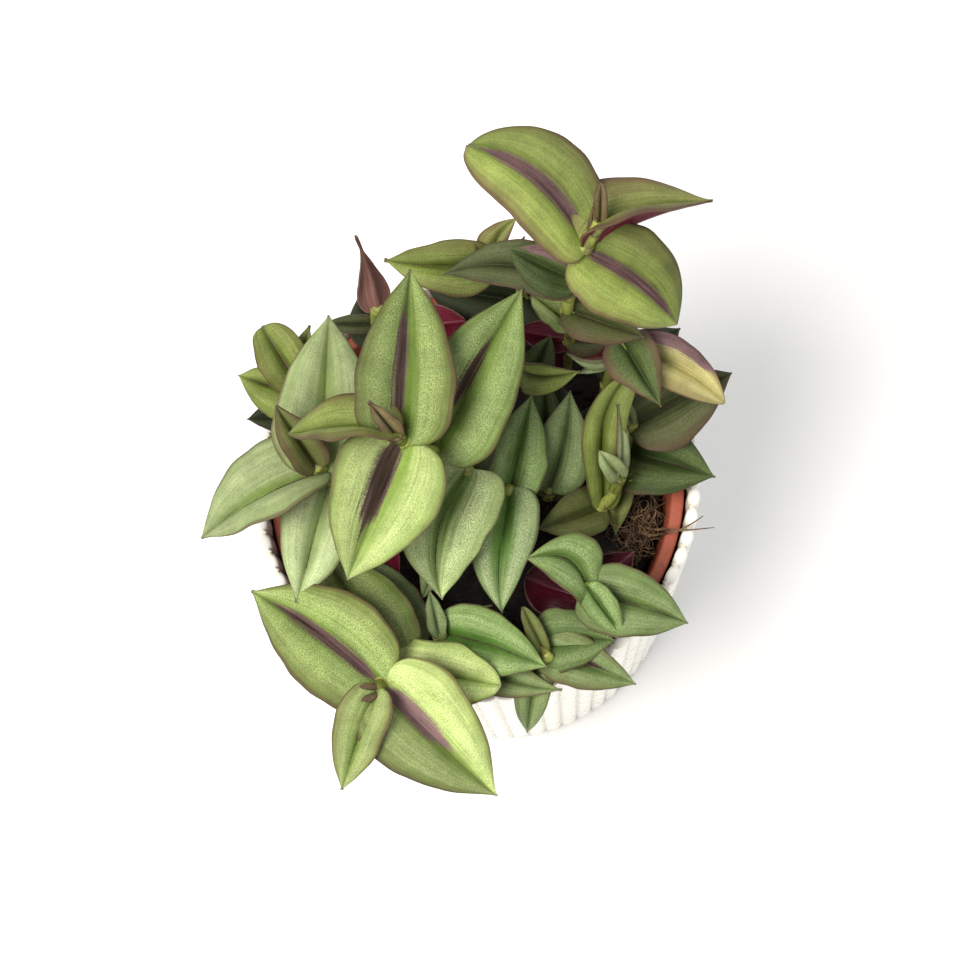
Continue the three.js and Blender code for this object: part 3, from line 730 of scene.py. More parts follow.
def blade_shape(leaf, base, draw):
    """The function that gives a point of the blade from its share across, -1 to 1, and its share along."""
    chord = seen(leaf["tip"]) - base
    length = chord.length
    along = chord.normalized()
    to_eye = (eye - base - chord / 2).normalized()
    side = along.cross(to_eye).normalized()
    side.rotate(Quaternion(along, -math.radians(leaf["roll"])))
    face = side.cross(along)
    traits = own_traits(draw)

    def midrib(s):
        rise = leaf["arch"] * even_bow(s)
        sway = leaf["bend"] * even_bow(s) + leaf["swing"] * late_bow(s)
        return base + chord * s + face * (length * rise) + side * (length * sway)

    def point(a, s):
        slope = (midrib(min(1, s + SLOPE_STEP)) - midrib(max(0, s - SLOPE_STEP))).normalized()
        turned = side.copy()
        turned.rotate(Quaternion(slope, math.radians(traits["twist"] * s * s)))
        normal = turned.cross(slope).normalized()
        lift = math.radians(leaf["fold"] * (FOLD["base"] + (FOLD["tip"] - FOLD["base"]) * s))
        out = turned * math.copysign(1, a)
        up = normal * math.cos(lift) - out * math.sin(lift)
        half = half_width(leaf, traits, a, s)
        width = half * abs(a)
        risen = math.hypot(width, GROOVE["round"]) - GROOVE["round"]
        spread = out * (math.cos(lift) * width) + normal * (math.sin(lift) * risen)
        sunk = along * (-BLADE["sink"] * max(0, 1 - BLADE["sink_fade"] * s))
        return midrib(s) + sunk + spread + up * relief(leaf, traits, half, a, s, s * length), half

    return point, length


print("a late bow stands at", round(late_bow(0.5), 2), "of its height half way along")

# %% [markdown]
# ## The finish of the leaves
#
# The silver of an inch plant's leaf is air under a clear skin: it glitters in grains a third of a
# millimetre wide. Between the silver bands lies a green valley with a mauve stripe, and a thin purple
# line runs round the edge. All of it follows the leaf, so it is drawn from each point's share across and
# along the blade, and fine lines that run together at base and tip stand for the parallel veins.

# %% Read what is written on the leaf's points
def read(tree, name):
    """A colour that is written on the mesh's points, and the value beside it."""
    parts = add(tree, "Attribute", give="Color", attribute_name=name).node
    return parts.outputs["Color"], parts.outputs["Alpha"]


def read_four(tree, name):
    """Four values that are written on the mesh's points."""
    colour, last = read(tree, name)
    split = add(tree, "SeparateColor", [colour]).node
    return [*split.outputs[:3], last]


def follow_blade(tree):
    """Where on the blade a point is, and the noises that follow the blade."""
    # the fourth value read here is the painted light and shade of the blade's two halves
    across, along, seed, tone = read_four(tree, "place")
    own = add(tree, "Math", [seed, 37.0], **TIMES)
    fanned = add(tree, "Math", [across, 9.0], **TIMES)
    lines = add(tree, "CombineXYZ", [fanned, along, own])
    flat = add(tree, "UVMap", uv_map="leaf")
    cells = add(tree, "VectorMath", [flat, (1.0, 0.55, 1.0)], operation="MULTIPLY")
    body = add(tree, "TexCoord", give="Object")
    streaks = add(tree, "TexNoise", {"Vector": lines, "Scale": 0.8, "Detail": 3, "Roughness": 0.65})
    return {
        "across": across,
        "along": along,
        "tone": tone,
        "width": add(tree, "Math", [across], **SIZE),
        "loose": add(tree, "Math", [streaks, 0.5], **MINUS),
        "veins": add(tree, "TexNoise", {"Vector": lines, "Scale": 2.4, "Detail": 3, "Roughness": 0.6}),
        "grain": add(tree, "TexNoise", {"Vector": cells, "Scale": 400, "Detail": 3, "Roughness": 0.7}),
        "clouds": add(tree, "TexNoise", {"Vector": body, "Scale": 160, "Detail": 4, "Roughness": 0.7}),
    }


trial = bpy.data.materials.new("trial")
trial.use_nodes = True
print("a blade's finish can follow:", ", ".join(follow_blade(trial.node_tree)))
bpy.data.materials.remove(trial)


# %% Silver, green heart and brown flush
def silver_over_green(tree, at):
    """Silver over the green skin between midrib and edge: smooth, or in glittering grains."""
    green, grainy = read(tree, "skin")
    silver, _ = read(tree, "silver")
    drift = add(tree, "Math", [at["loose"], 0.7, at["width"]], **TIMES_PLUS)
    inner = add(tree, "MapRange", [drift, 0.0, 0.4], **SOFT)
    outer = add(tree, "MapRange", [drift, 0.62, 1.02, 1, 0.05], **SOFT)
    band = add(tree, "Math", [inner, outer], **TIMES)
    glitter = add(tree, "MapRange", [at["grain"], 0.36, 0.66], **SOFT)
    lined = add(tree, "Math", [at["veins"], 0.8, at["grain"]], **TIMES_PLUS)
    veined = add(tree, "MapRange", [lined, 0.68, 1.12, 0.0, 1.0], **SOFT)
    patchy = add(tree, "MapRange", [at["clouds"], 0.35, 0.65, 0.4, 1.0], **SOFT)
    graininess = add(tree, "Math", [grainy, patchy], **TIMES)
    sheen = add(tree, "Mix", [graininess, veined, glitter], data_type="FLOAT")
    shine = add(tree, "Math", [band, sheen], **TIMES)
    return add(tree, "Mix", [shine, green, silver], **COLOUR)


def green_heart(tree, at, colour):
    """The green beside the midrib, away from the stripe, and painted shade along the groove."""
    heart, heart_width = read(tree, "heart")
    *_, offset = read_four(tree, "stripe")
    shifted = add(tree, "Math", [offset, 0.75, at["across"]], **TIMES_PLUS)
    from_heart = add(tree, "Math", [shifted], **SIZE)
    blurred = add(tree, "Math", [at["loose"], 0.9, from_heart], **TIMES_PLUS)
    within = add(tree, "Math", [heart_width, blurred], **MINUS)
    tapered = add(tree, "MapRange", [at["along"], 0.4, 0.95, 1.0, 0.1], **SOFT)
    deep = add(tree, "MapRange", [within, -0.24, 0.26, 0, 0.75], **SOFT)
    hearted = add(tree, "Math", [deep, tapered], **TIMES)
    colour = add(tree, "Mix", [hearted, colour, heart], **COLOUR)
    # painted shade: a thin dark line along the groove of the midrib
    painted_groove_shade = add(tree, "MapRange", [at["width"], 0.0, 0.03, 0.2, 0.0], **SOFT)
    return add(tree, "Mix", [painted_groove_shade, colour, "#3f4a20"], **COLOUR)


def brown_flush(tree, at, colour):
    """Brown that creeps in from the edges of young or sunlit leaves."""
    _, flushed = read(tree, "silver")
    creep = add(tree, "Math", [at["loose"], 0.9, at["width"]], **TIMES_PLUS)
    margin = add(tree, "MapRange", [creep, 0.45, 1.1], **SOFT)
    flush = add(tree, "Math", [flushed, margin], **TIMES)
    return add(tree, "Mix", [flush, colour, "#6b4a3c"], **COLOUR)


print("layers of the leaf's skin: silver over green, green heart, brown flush")


# %% Mauve stripe, purple rim, cloudiness and painted light and shade on the halves
def mauve_stripe(tree, at, colour):
    """The stripe, with ragged sides, pointed at both ends, and darkest in its middle."""
    widest, start, end, offset = read_four(tree, "stripe")
    _, paleness = read(tree, "under")
    beside = add(tree, "Math", [at["across"], offset], **MINUS)
    away = add(tree, "Math", [beside], **SIZE)
    ragged = add(tree, "Math", [at["veins"], 0.5], **MINUS)
    away = add(tree, "Math", [ragged, 0.34, away], **TIMES_PLUS)
    crumbled = add(tree, "Math", [at["grain"], 0.5], **MINUS)
    away = add(tree, "Math", [crumbled, 0.26, away], **TIMES_PLUS)
    gone_in = add(tree, "Math", [at["along"], start], **MINUS)
    left = add(tree, "Math", [end, at["along"]], **MINUS)
    run_in = add(tree, "MapRange", [gone_in, -0.06, 0.12], **SOFT)
    run_out = add(tree, "MapRange", [left, -0.03, 0.22], **SOFT)
    ends = add(tree, "Math", [run_in, run_out], **TIMES)
    room = add(tree, "Math", [widest, ends], **TIMES)
    depth_in = add(tree, "Math", [room, away], **MINUS)
    inside = add(tree, "MapRange", [depth_in, -0.05, 0.06, 0, 0.96], **SOFT)
    shade = add(tree, "Math", [ragged, 0.8, paleness], **TIMES_PLUS)
    shade = add(tree, "Math", [depth_in, -2.5, shade], **TIMES_PLUS)
    mauve = add(tree, "Mix", [shade, "#35191f", "#7d6064"], **COLOUR)
    return add(tree, "Mix", [inside, colour, mauve], **COLOUR)


def purple_rim(tree, at, colour):
    """The thin purple-brown line round the edge, and the darker tip."""
    rim = add(tree, "Math", [at["loose"], 0.2, at["width"]], **TIMES_PLUS)
    edge = add(tree, "MapRange", [rim, 0.9, 0.99, 0, 0.65], **SOFT)
    colour = add(tree, "Mix", [edge, colour, "#55382f"], **COLOUR)
    tip_end = add(tree, "MapRange", [at["along"], 0.95, 1.0, 0, 0.5], **SOFT)
    return add(tree, "Mix", [tip_end, colour, "#6b5850"], **COLOUR)


def cloudiness_and_painted_side_light(tree, at, colour):
    """The cloudiness of a living leaf, and painted light and shade that make one half of the blade lighter
    than the other.
    """
    uneven = add(tree, "MapRange", [at["clouds"], 0.3, 0.7, 0.78, 1.18])
    grey = add(tree, "CombineColor", [uneven, uneven, uneven])
    colour = add(tree, "Mix", [1.0, colour, grey], **SHADE)
    # painted light and shade: the half on one side of the midrib is made lighter and the other darker
    sided = add(tree, "MapRange", [at["across"], -0.12, 0.12, -1.0, 1.0], **SOFT)
    toned = add(tree, "Math", [sided, at["tone"], 1.0], **TIMES_PLUS)
    tone = add(tree, "CombineColor", [toned, toned, toned])
    return add(tree, "Mix", [1.0, colour, tone], **SHADE)


# the last layer is the leaf's cloudiness with the painted light and shade of its halves
print("and over them: mauve stripe, purple rim, living unevenness")


# %% The three finishes of a leafy stem
def striped_leaf_top():
    """The glittering upper skin, from lime to blue-green, with its mauve stripe and purple edge."""
    material, tree, skin = new_material("silver_striped_leaf", 0.45, 1.42)
    skin["Specular IOR Level"].default_value = 0.35
    at = follow_blade(tree)
    colour = silver_over_green(tree, at)
    for layer in (green_heart, brown_flush, mauve_stripe, purple_rim, cloudiness_and_painted_side_light):
        colour = layer(tree, at, colour)
    tree.links.new(colour, skin["Base Color"])
    tree.links.new(add(tree, "MapRange", [at["grain"], 0.3, 0.7, 0.55, 0.38]), skin["Roughness"])
    height = add(tree, "Math", [at["veins"], 0.3, at["grain"]], **TIMES_PLUS)
    tree.links.new(add(tree, "Bump", {"Height": height, "Distance": 0.25 * MM}), skin["Normal"])
    return material


def maroon_underside():
    """The lower skin, which holds a deep red dye: maroon, a little waxy, with paler veins."""
    material, tree, skin = new_material("maroon_leaf_underside", 0.4, 1.42)
    skin["Specular IOR Level"].default_value = 0.3
    at = follow_blade(tree)
    dye, _ = read(tree, "under")
    veins = add(tree, "MapRange", [at["veins"], 0.3, 0.75, 0.65, 1.35], **SOFT)
    lined = add(tree, "CombineColor", [veins, veins, veins])
    dye = add(tree, "Mix", [1.0, dye, lined], **SHADE)
    edge = add(tree, "MapRange", [at["width"], 0.94, 0.99, 0, 0.6], **SOFT)
    tree.links.new(add(tree, "Mix", [edge, dye, "#8a6a6c"], **COLOUR), skin["Base Color"])
    tree.links.new(add(tree, "Bump", {"Height": at["veins"], "Distance": 0.3 * MM}), skin["Normal"])
    return material


def juicy_stem():
    """A watery green stem, flushed with purple lines, with a smooth skin that takes soft highlights."""
    material, tree, skin = new_material("juicy_green_stem", 0.36, 1.4)
    body = add(tree, "TexCoord", give="Object")
    drawn = add(tree, "Mapping", {"Vector": body, "Scale": (1.0, 1.0, 0.15)})
    lines = add(tree, "TexNoise", {"Vector": drawn, "Scale": 900})
    flush = add(tree, "MapRange", [lines, 0.48, 0.66, 0, 0.65], **SOFT)
    clouds = add(tree, "TexNoise", {"Vector": body, "Scale": 200})
    green = add(tree, "Mix", [clouds, "#838f3c", "#a3ab55"], **COLOUR)
    tree.links.new(add(tree, "Mix", [flush, green, "#644350"], **COLOUR), skin["Base Color"])
    tree.links.new(add(tree, "Bump", {"Height": lines, "Distance": 0.08 * MM}), skin["Normal"])
    return material


leaf_materials = [striped_leaf_top(), maroon_underside(), juicy_stem()]
print("leaf finishes:", [material.name for material in leaf_materials])

# %% [markdown]
# ## Every leafy stem
#
# The list holds the same places as the model's own. Each leaf also has a look, from yellow-lime in good
# light to blue-green in the shade, the size of its stripe, and painted light and shade: a light that makes
# its colours darker where other leaves shade it and lighter where it stands in full light.

# %% Looks of the leaves
# The colours of skin, silver, heart and underside, and how grainy the silver is
LOOKS = {
    "smooth_lime": ("#74853b", "#9aa758", "#6c7f21", "#5e1728", 0.25),
    "flushed_lime": ("#70793a", "#92965a", "#626a2e", "#6b2033", 0.15),
    "olive_lime": ("#697830", "#929e59", "#546415", "#5e1728", 0.25),
    "olive": ("#59622e", "#7b824c", "#485123", "#4e0c1c", 0.3),
    "dark_olive": ("#464e2c", "#697047", "#353f1e", "#4e0c1c", 0.3),
    "speckled_lime": ("#5f7330", "#a2b372", "#516b19", "#5e1728", 1.0),
    "speckled_green": ("#5c7130", "#99ab71", "#63802a", "#4e0c1c", 1.0),
    "bright": ("#889d51", "#c5d390", "#769434", "#6b2033", 0.5),
    "pale_mint": ("#83945d", "#acb888", "#748d3d", "#5e1728", 0.3),
    "pale_shade": ("#7f8e60", "#a9b689", "#71844c", "#4e0c1c", 0.3),
    "silver": ("#6b844d", "#bcc899", "#4c771a", "#4e0c1c", 1.0),
    "silver_green": ("#6c7f46", "#b9c592", "#415f1a", "#4e0c1c", 1.0),
    "sage": ("#647a40", "#98a875", "#526a33", "#4e0c1c", 0.5),
    "fresh_green": ("#5e7838", "#a3b77d", "#386016", "#4e0c1c", 0.8),
    "deep_green": ("#3a4c1f", "#6a7946", "#2a3f12", "#4e0c1c", 0.4),
    "grey_green": ("#55673c", "#89986a", "#3c4e27", "#4e0c1c", 0.7),
    "young": ("#6a6040", "#897e58", "#594834", "#7d5a52", 0.1),
    "yellow": ("#aea568", "#cbc58a", "#9a9450", "#6b2033", 0.2),
    "crimson": ("#49602a", "#83975a", "#36501a", "#6a0c28", 0.4),
}
print(len(LOOKS), "looks")

# %% Stripes of the leaves
# Half width, start and end along the blade, how far it lies off the midrib, and its paleness
STRIPES = {
    None: (0.0, 0.0, 0.0, 0.0, 0.0),
    "broad": (0.19, 0.08, 0.97, 0.0, 0.95),
    "narrow": (0.16, 0.0, 0.97, 0.0, 0.75),
    "long": (0.15, 0.04, 0.88, -0.02, 0.65),
    "mauve": (0.19, 0.05, 0.62, -0.04, 1.3),
    "beside_left": (0.15, 0.1, 0.82, -0.15, 0.7),
    "beside_right": (0.21, 0.0, 0.7, 0.17, 0.5),
    "half_way": (0.15, 0.28, 0.74, -0.15, 0.3),
    "grey_line": (0.05, 0.0, 0.5, -0.03, 1.0),
    "grey_band": (0.2, 0.1, 0.9, 0.62, 0.9),
    "rosy_band": (0.32, 0.0, 0.85, -0.9, 1.3),
}
print(len(STRIPES) - 1, "stripes")

# %% A leaf's usual form
# Roll and fold in degrees, bows as shares of the length, waves in millimetres, and the rest as shares
# The light is painted light and shade that scales a leaf's colours; the value after it makes one half of
# the blade lighter and the other darker, painted light and shade too.
USUAL_LEAF = {
    "roll": 0, "fold": 18, "arch": 0.06, "bend": 0, "swing": 0, "taper": 0.8,
    "puff": 0.2, "wave": 0.5, "light": 1.0, "tone": 0.0, "heart": 0.16, "flush": 0.0,
}


def blade(base, tip, wide, look, stripe=None, **shape):
    """One leaf of the lists below, with what isn't given set to its usual value."""
    leaf = {"base": base, "tip": tip, "wide": wide, "look": look, "stripe": stripe}
    return leaf | USUAL_LEAF | shape


print("a leaf usually folds by", USUAL_LEAF["fold"], "degrees")

# %% Stems at the back and on the left
# A light of 0.25 is painted shade: those leaves stand deep in the tuft, darkened as the leaves above them
# would shade them.
LEAFY_STEMS = {}
LEAFY_STEMS["tall_back_right"] = {
    "foot": (24, 27),
    "path": [(25, 38, 118), (24.5, 47, 142), (27.5, 56, 160), (29.5, 62.5, 172), (33, 68, 177)],
    "leaves": [
        blade((28.4, 61.5, 171), (-1.6, 88.2, 181), 23.5, "smooth_lime", "broad", tone=-0.22, flush=0.5,
              roll=-6, arch=0.05, bend=0.12, taper=0.45),
        blade((30.5, 62, 171), (62.6, 73.8, 171), 25, "flushed_lime", flush=0.7, roll=50, fold=46,
              arch=0.07, taper=1.1),
        blade((31, 59, 169), (53.3, 40.9, 156), 24, "smooth_lime", "narrow", light=0.88, tone=0.3,
              flush=0.3, fold=14, arch=0.1, bend=-0.07, taper=0.7),
        blade((33.4, 68.4, 177), (33.2, 78, 187), 4.5, "young", flush=0.5, fold=40, arch=0, taper=0.5),
        blade((30.3, 66, 174), (31, 71.5, 181), 3.5, "young", flush=0.5, fold=40, arch=0),
        blade((26, 53, 154), (9, 60.8, 158), 13.5, "deep_green", "grey_band", light=0.7, roll=10, fold=15,
              arch=0.05, taper=0.7),
        blade((25.8, 50.5, 150), (-8.4, 54.2, 144), 14.5, "dark_olive", light=0.85, roll=-10, fold=24,
              arch=0.04, bend=0.1),
        blade((25, 44, 136), (44.5, 37.5, 134), 13, "olive", light=0.55, flush=0.5),
        blade((24.9, 40.5, 125), (15.2, 48.6, 134), 11, "bright", light=0.8, roll=-15, fold=34, arch=0.05,
              taper=0.35),
        blade((25, 37.5, 116), (35.5, 37.5, 114), 10, "dark_olive", light=0.7, flush=0.5, roll=-8,
              arch=0.05, taper=0.6),
        blade((25, 37, 114), (11, 39.5, 115), 9, "crimson", light=0.5, roll=178, fold=20, arch=0.05,
              taper=0.6),
    ],
}
LEAFY_STEMS["back"] = {
    "foot": (11, 37),
    "path": [(12, 46, 106), (12.5, 52, 122), (7, 55.5, 134), (2, 57.5, 141)],
    "leaves": [
        blade((3.5, 56.8, 138), (-23.9, 57.9, 138), 16, "olive_lime", light=0.95, tone=-0.15, flush=0.3,
              roll=8, fold=24, arch=0.08, bend=-0.03, taper=0.9),
        blade((5, 56.5, 138), (11, 69, 150), 9.5, "flushed_lime", flush=0.7, roll=25, fold=30, arch=0.1,
              bend=-0.1),
        blade((9, 55, 132), (13, 64, 140), 6, "young", flush=0.5, fold=30, arch=0.05),
        blade((2, 57.5, 141), (0.3, 61.5, 150), 3, "young", flush=0.5, fold=35, arch=0),
        blade((12, 47, 108), (-13, 51, 101), 18, "deep_green", light=0.25, fold=15, arch=0.1),
        blade((12, 45, 103), (20, 57, 97), 14, "deep_green", light=0.25, fold=15, arch=0.16),
        blade((12.3, 50, 115), (22, 38, 110), 14, "deep_green", light=0.25, fold=20),
    ],
}
LEAFY_STEMS["back_left"] = {
    "foot": (-22, 28),
    "path": [(-25, 36, 102), (-26, 42, 114), (-25.5, 45.5, 122)],
    "leaves": [
        blade((-25.5, 45, 121), (-31.6, 64.4, 144), 10, "young", flush=0.5, roll=170, fold=24, arch=0.04,
              bend=-0.03, taper=2.1),
        blade((-27, 41, 112), (-40, 41, 113), 6.5, "dark_olive", light=0.6, fold=30),
        blade((-26.5, 40, 108), (-2.4, 42, 112), 14, "crimson", light=0.8, roll=178, fold=20, arch=0.03,
              taper=0.6),
        blade((-25, 36, 102), (-31, 48, 103), 13, "deep_green", light=0.25, arch=0.08),
    ],
}
LEAFY_STEMS["centre_left"] = {
    "foot": (-13, -2),
    "path": [(-11.5, 2.5, 112), (-9.8, 7, 132), (-14, 8.5, 144), (-19.2, 10.5, 150), (-21, 12, 154)],
    "leaves": [
        blade((-18.9, 10.5, 150), (-17, 55.5, 161), 25.5, "speckled_lime", "beside_left", tone=0.14,
              flush=0.2, fold=16, arch=0.05),
        blade((-20.3, 11.3, 153), (-49.2, 12.2, 150), 20, "olive_lime", light=0.95, flush=0.45, roll=-44,
              fold=40, arch=0.05, taper=0.7),
        blade((-18.4, 9.5, 149), (-33.6, -26.3, 139), 28, "bright", "beside_right", light=0.96,
              tone=-0.14, fold=12, arch=0.08),
        blade((-8.5, 6.6, 136), (12.4, 50.3, 153), 26.5, "speckled_green", "half_way", light=1.12,
              tone=0.06, heart=0.14),
        blade((-20.6, 11.8, 153), (-27.8, 20.4, 164), 7.5, "young", flush=0.5, fold=45, arch=0),
        blade((-10, 2, 112), (-37, 9, 117), 15, "grey_green", roll=6),
    ],
}
LEAFY_STEMS["left"] = {
    "foot": (-35, -4),
    "path": [(-37, -2, 108), (-39, 0.5, 121), (-40, 2.6, 128), (-42, 4, 133)],
    "leaves": [
        blade((-39, 1.5, 127), (-72.1, -15.3, 121), 26, "pale_mint", roll=-38, fold=28, arch=0.08),
        blade((-40.3, 4, 128), (-38.4, 43.4, 140), 27, "pale_mint", "grey_line", tone=-0.12, fold=15,
              arch=0.05),
        blade((-38.5, -1, 117), (-46.9, -32.4, 118), 21.5, "pale_shade", light=1.5, fold=16, arch=0.08),
        blade((-42, 4, 133), (-52.4, 19.4, 149), 13, "olive", flush=0.6, fold=40, arch=0.02, taper=0.7),
        blade((-37, -1.5, 110), (-62.5, 5.5, 113), 21, "crimson", roll=175, arch=0.04),
        blade((-36.5, -2.5, 103), (-61, -5, 104), 12, "deep_green", light=0.6, arch=0.1),
        blade((-36, -3, 100), (-19.5, -25.5, 103), 15, "crimson", roll=178, arch=0.08),
    ],
}
LEAFY_STEMS["back_left_low"] = {
    "foot": (-37, 12),
    "path": [(-43, 18, 98), (-45.5, 22, 106), (-46.5, 25, 112)],
    "leaves": [
        blade((-46.5, 25, 112), (-55.9, 40.4, 121), 15, "olive_lime", "grey_line", flush=0.3, fold=25,
              taper=0.4),
        blade((-45.5, 22, 107), (-62.4, 27.6, 110), 17, "olive_lime", roll=10, fold=26, arch=0.08,
              taper=0.9),
        blade((-46.3, 24.5, 110), (-43.7, 40.8, 118), 9, "olive", roll=20, fold=30),
        blade((-43, 17.5, 98), (-60, 16, 102), 12, "deep_green", light=0.25, fold=20, arch=0.1),
    ],
}
print(len(LEAFY_STEMS), "leafy stems so far")

# %% Stems on the right and in the middle
LEAFY_STEMS["right_back"] = {
    "foot": (34, 20),
    "path": [(35, 26, 104), (37, 33, 121), (39, 36, 126)],
    "leaves": [
        blade((37.5, 34, 122), (65.8, 20.2, 119), 15, "yellow", "rosy_band", flush=0.45, roll=6, fold=22,
              arch=0.05, bend=-0.1, taper=0.6),
        blade((39, 36, 126), (49, 19.2, 125), 16, "deep_green", flush=0.8, fold=24, taper=1.1),
        blade((37, 34, 121), (27.1, 28, 121), 5, "pale_shade", roll=40, fold=30, arch=0.05),
        blade((38, 35, 124), (24.2, 33, 124), 8, "pale_shade", roll=70, fold=30, arch=0.2),
        blade((35, 25, 102), (54, 40, 102), 16, "deep_green", light=0.25, arch=0.1),
    ],
}
LEAFY_STEMS["right"] = {
    "foot": (38, 4),
    "path": [(39.5, 8, 97), (40.5, 13, 105), (41, 15, 108)],
    "leaves": [
        blade((41, 14, 107), (67.6, 28.2, 112), 24, "dark_olive", light=0.85, flush=0.4, fold=24,
              arch=-0.03),
        blade((38.7, 4, 97), (63.2, 0.8, 104), 24, "deep_green", light=0.85, tone=-0.1, roll=8,
              taper=0.9),
        blade((41, 15, 108), (38, 24, 115), 6, "pale_shade", fold=40, arch=0),
        blade((38.2, 3, 92), (37, -14.5, 91), 10.5, "olive"),
    ],
}
LEAFY_STEMS["right_centre"] = {
    "foot": (31, -9),
    "path": [(33, -7, 95), (36, -4, 102), (38, 1, 109)],
    "leaves": [
        blade((33.5, -6.5, 96), (40.1, 27, 124), 13, "olive_lime", tone=-0.1, roll=-14, fold=30,
              arch=0.05, bend=-0.01, swing=-0.1, taper=0.28),
        blade((38, 1, 109), (37.8, 20, 122), 6, "pale_shade", flush=0.6, roll=-50, fold=20, arch=0.04),
        blade((38, 1, 109), (32.7, 7.6, 120), 7, "pale_mint", fold=24, arch=0.1, taper=0.6),
        blade((31.5, -8, 96), (16.5, -13, 102), 14, "olive", light=0.7, fold=20),
    ],
}
LEAFY_STEMS["centre_right"] = {
    "foot": (19, -5),
    "path": [(19.3, -4, 94), (19.6, -2, 98)],
    "leaves": [
        blade((19.6, -2, 98), (25, 23.5, 114), 17, "grey_green", light=1.3, fold=20, bend=0.05),
        blade((19.5, -3, 96), (18, 28, 110), 15, "deep_green", light=0.8, fold=22, arch=0.03),
        blade((19.4, -3.5, 95), (31, 20, 103), 14, "deep_green", light=0.25, fold=25, arch=0.05),
    ],
}
LEAFY_STEMS["centre"] = {
    "foot": (10, -10),
    "path": [(9.5, -6, 100), (8.7, -2.6, 110)],
    "leaves": [
        blade((8.7, -3, 107), (15, 22.6, 114), 17.5, "fresh_green", light=1.05, tone=0.1, heart=0.2,
              fold=20, arch=0.05, taper=0.9),
        blade((9, -3, 109), (7.1, -35.1, 106), 19, "silver", heart=0.42, arch=0.07, swing=0.04),
    ],
}
LEAFY_STEMS["middle"] = {
    "foot": (-3, -7),
    "path": [(-2.5, -3, 104), (-1.8, 2.2, 121)],
    "leaves": [
        blade((-1.8, 1.8, 120), (-8.7, -31.5, 113), 27, "silver_green", light=1.35, tone=-0.25, heart=0.2,
              roll=8, arch=0.08, bend=0.14),
        blade((-1.9, 1, 117), (-1, 26, 119), 14, "deep_green", light=0.6),
        blade((-2.5, -4, 102), (-14.2, -31.8, 103), 14, "grey_green", arch=0.08),
    ],
}
LEAFY_STEMS["back_centre"] = {
    "foot": (17, 20),
    "path": [(16, 24, 103), (14, 28, 115), (12.5, 29, 120)],
    "leaves": [
        blade((12.5, 29, 120), (27.6, 28.5, 127), 11, "olive_lime", roll=-26, fold=30, arch=0.2),
        blade((15, 27, 112), (20, 38, 118), 10, "deep_green", light=0.6, fold=25),
        blade((16, 26, 107), (23, 36, 111), 12, "crimson", light=0.4, roll=178, fold=20),
        blade((16.5, 22, 98), (28, 12, 99), 12, "deep_green", light=0.25),
    ],
}
print(len(LEAFY_STEMS), "leafy stems so far")

# %% Stems at the front
LEAFY_STEMS["right_front"] = {
    "foot": (27.5, -29.5),
    "path": [(28.5, -31, 98), (28.9, -30, 107), (30, -28.8, 112)],
    "leaves": [
        blade((28.9, -30, 110), (13.7, -20.6, 116), 17, "fresh_green", heart=0.1, roll=-15, fold=24,
              arch=0.14, bend=0.24, taper=0.7),
        blade((29, -29.5, 107), (56.1, -37.7, 105), 19.5, "sage", arch=0.1, bend=-0.03),
        blade((30, -29, 112), (38.9, -40.8, 109), 10.5, "fresh_green", fold=35, arch=0.1),
        blade((28.8, -30, 104), (42, -18.8, 106), 14, "crimson", light=0.35, roll=178, fold=20,
              arch=0.05),
        blade((28.5, -31, 100), (13, -25.5, 102), 17, "crimson", light=0.3, roll=178, fold=20, arch=0.05,
              taper=0.5),
        blade((28.2, -30.5, 96), (44, -27, 99), 15, "olive", light=0.4, roll=178, arch=0.1),
    ],
}
LEAFY_STEMS["front"] = {
    "foot": (-6, -37),
    "path": [(-7.5, -39, 96), (-8.7, -40, 103), (-9.5, -40.5, 107)],
    "leaves": [
        blade((-8.7, -40, 105), (18.9, -49.2, 107), 19, "fresh_green", light=1.2, heart=0.42, bend=-0.03),
        blade((-9.5, -40.5, 107), (-12, -29, 112), 6, "grey_green", fold=30, arch=0.04),
        blade((-8, -39, 100), (4.5, -32.8, 101), 5, "pale_shade", roll=65, fold=20),
        blade((-7.5, -39, 98.5), (22.9, -55.2, 103), 14, "sage", flush=0.5, bend=0.12),
    ],
}
LEAFY_STEMS["front_right"] = {
    "foot": (15, -39),
    "path": [(16, -42, 96), (18, -45, 102), (19.5, -47, 105)],
    "leaves": [
        blade((16, -43.5, 100), (36.8, -42.2, 104), 18, "fresh_green", light=0.72, heart=0.4, fold=20,
              arch=0.08, bend=-0.06),
        blade((17.5, -44.5, 104), (12.6, -33.4, 109), 6, "olive", fold=35, arch=0.04, taper=0.5),
        blade((17.5, -44, 100), (42.4, -53.8, 100.5), 15, "sage", "half_way", flush=0.3, fold=20),
        blade((16.5, -43, 98), (13.7, -66.6, 88), 11, "sage", fold=20, arch=0.3),
    ],
}
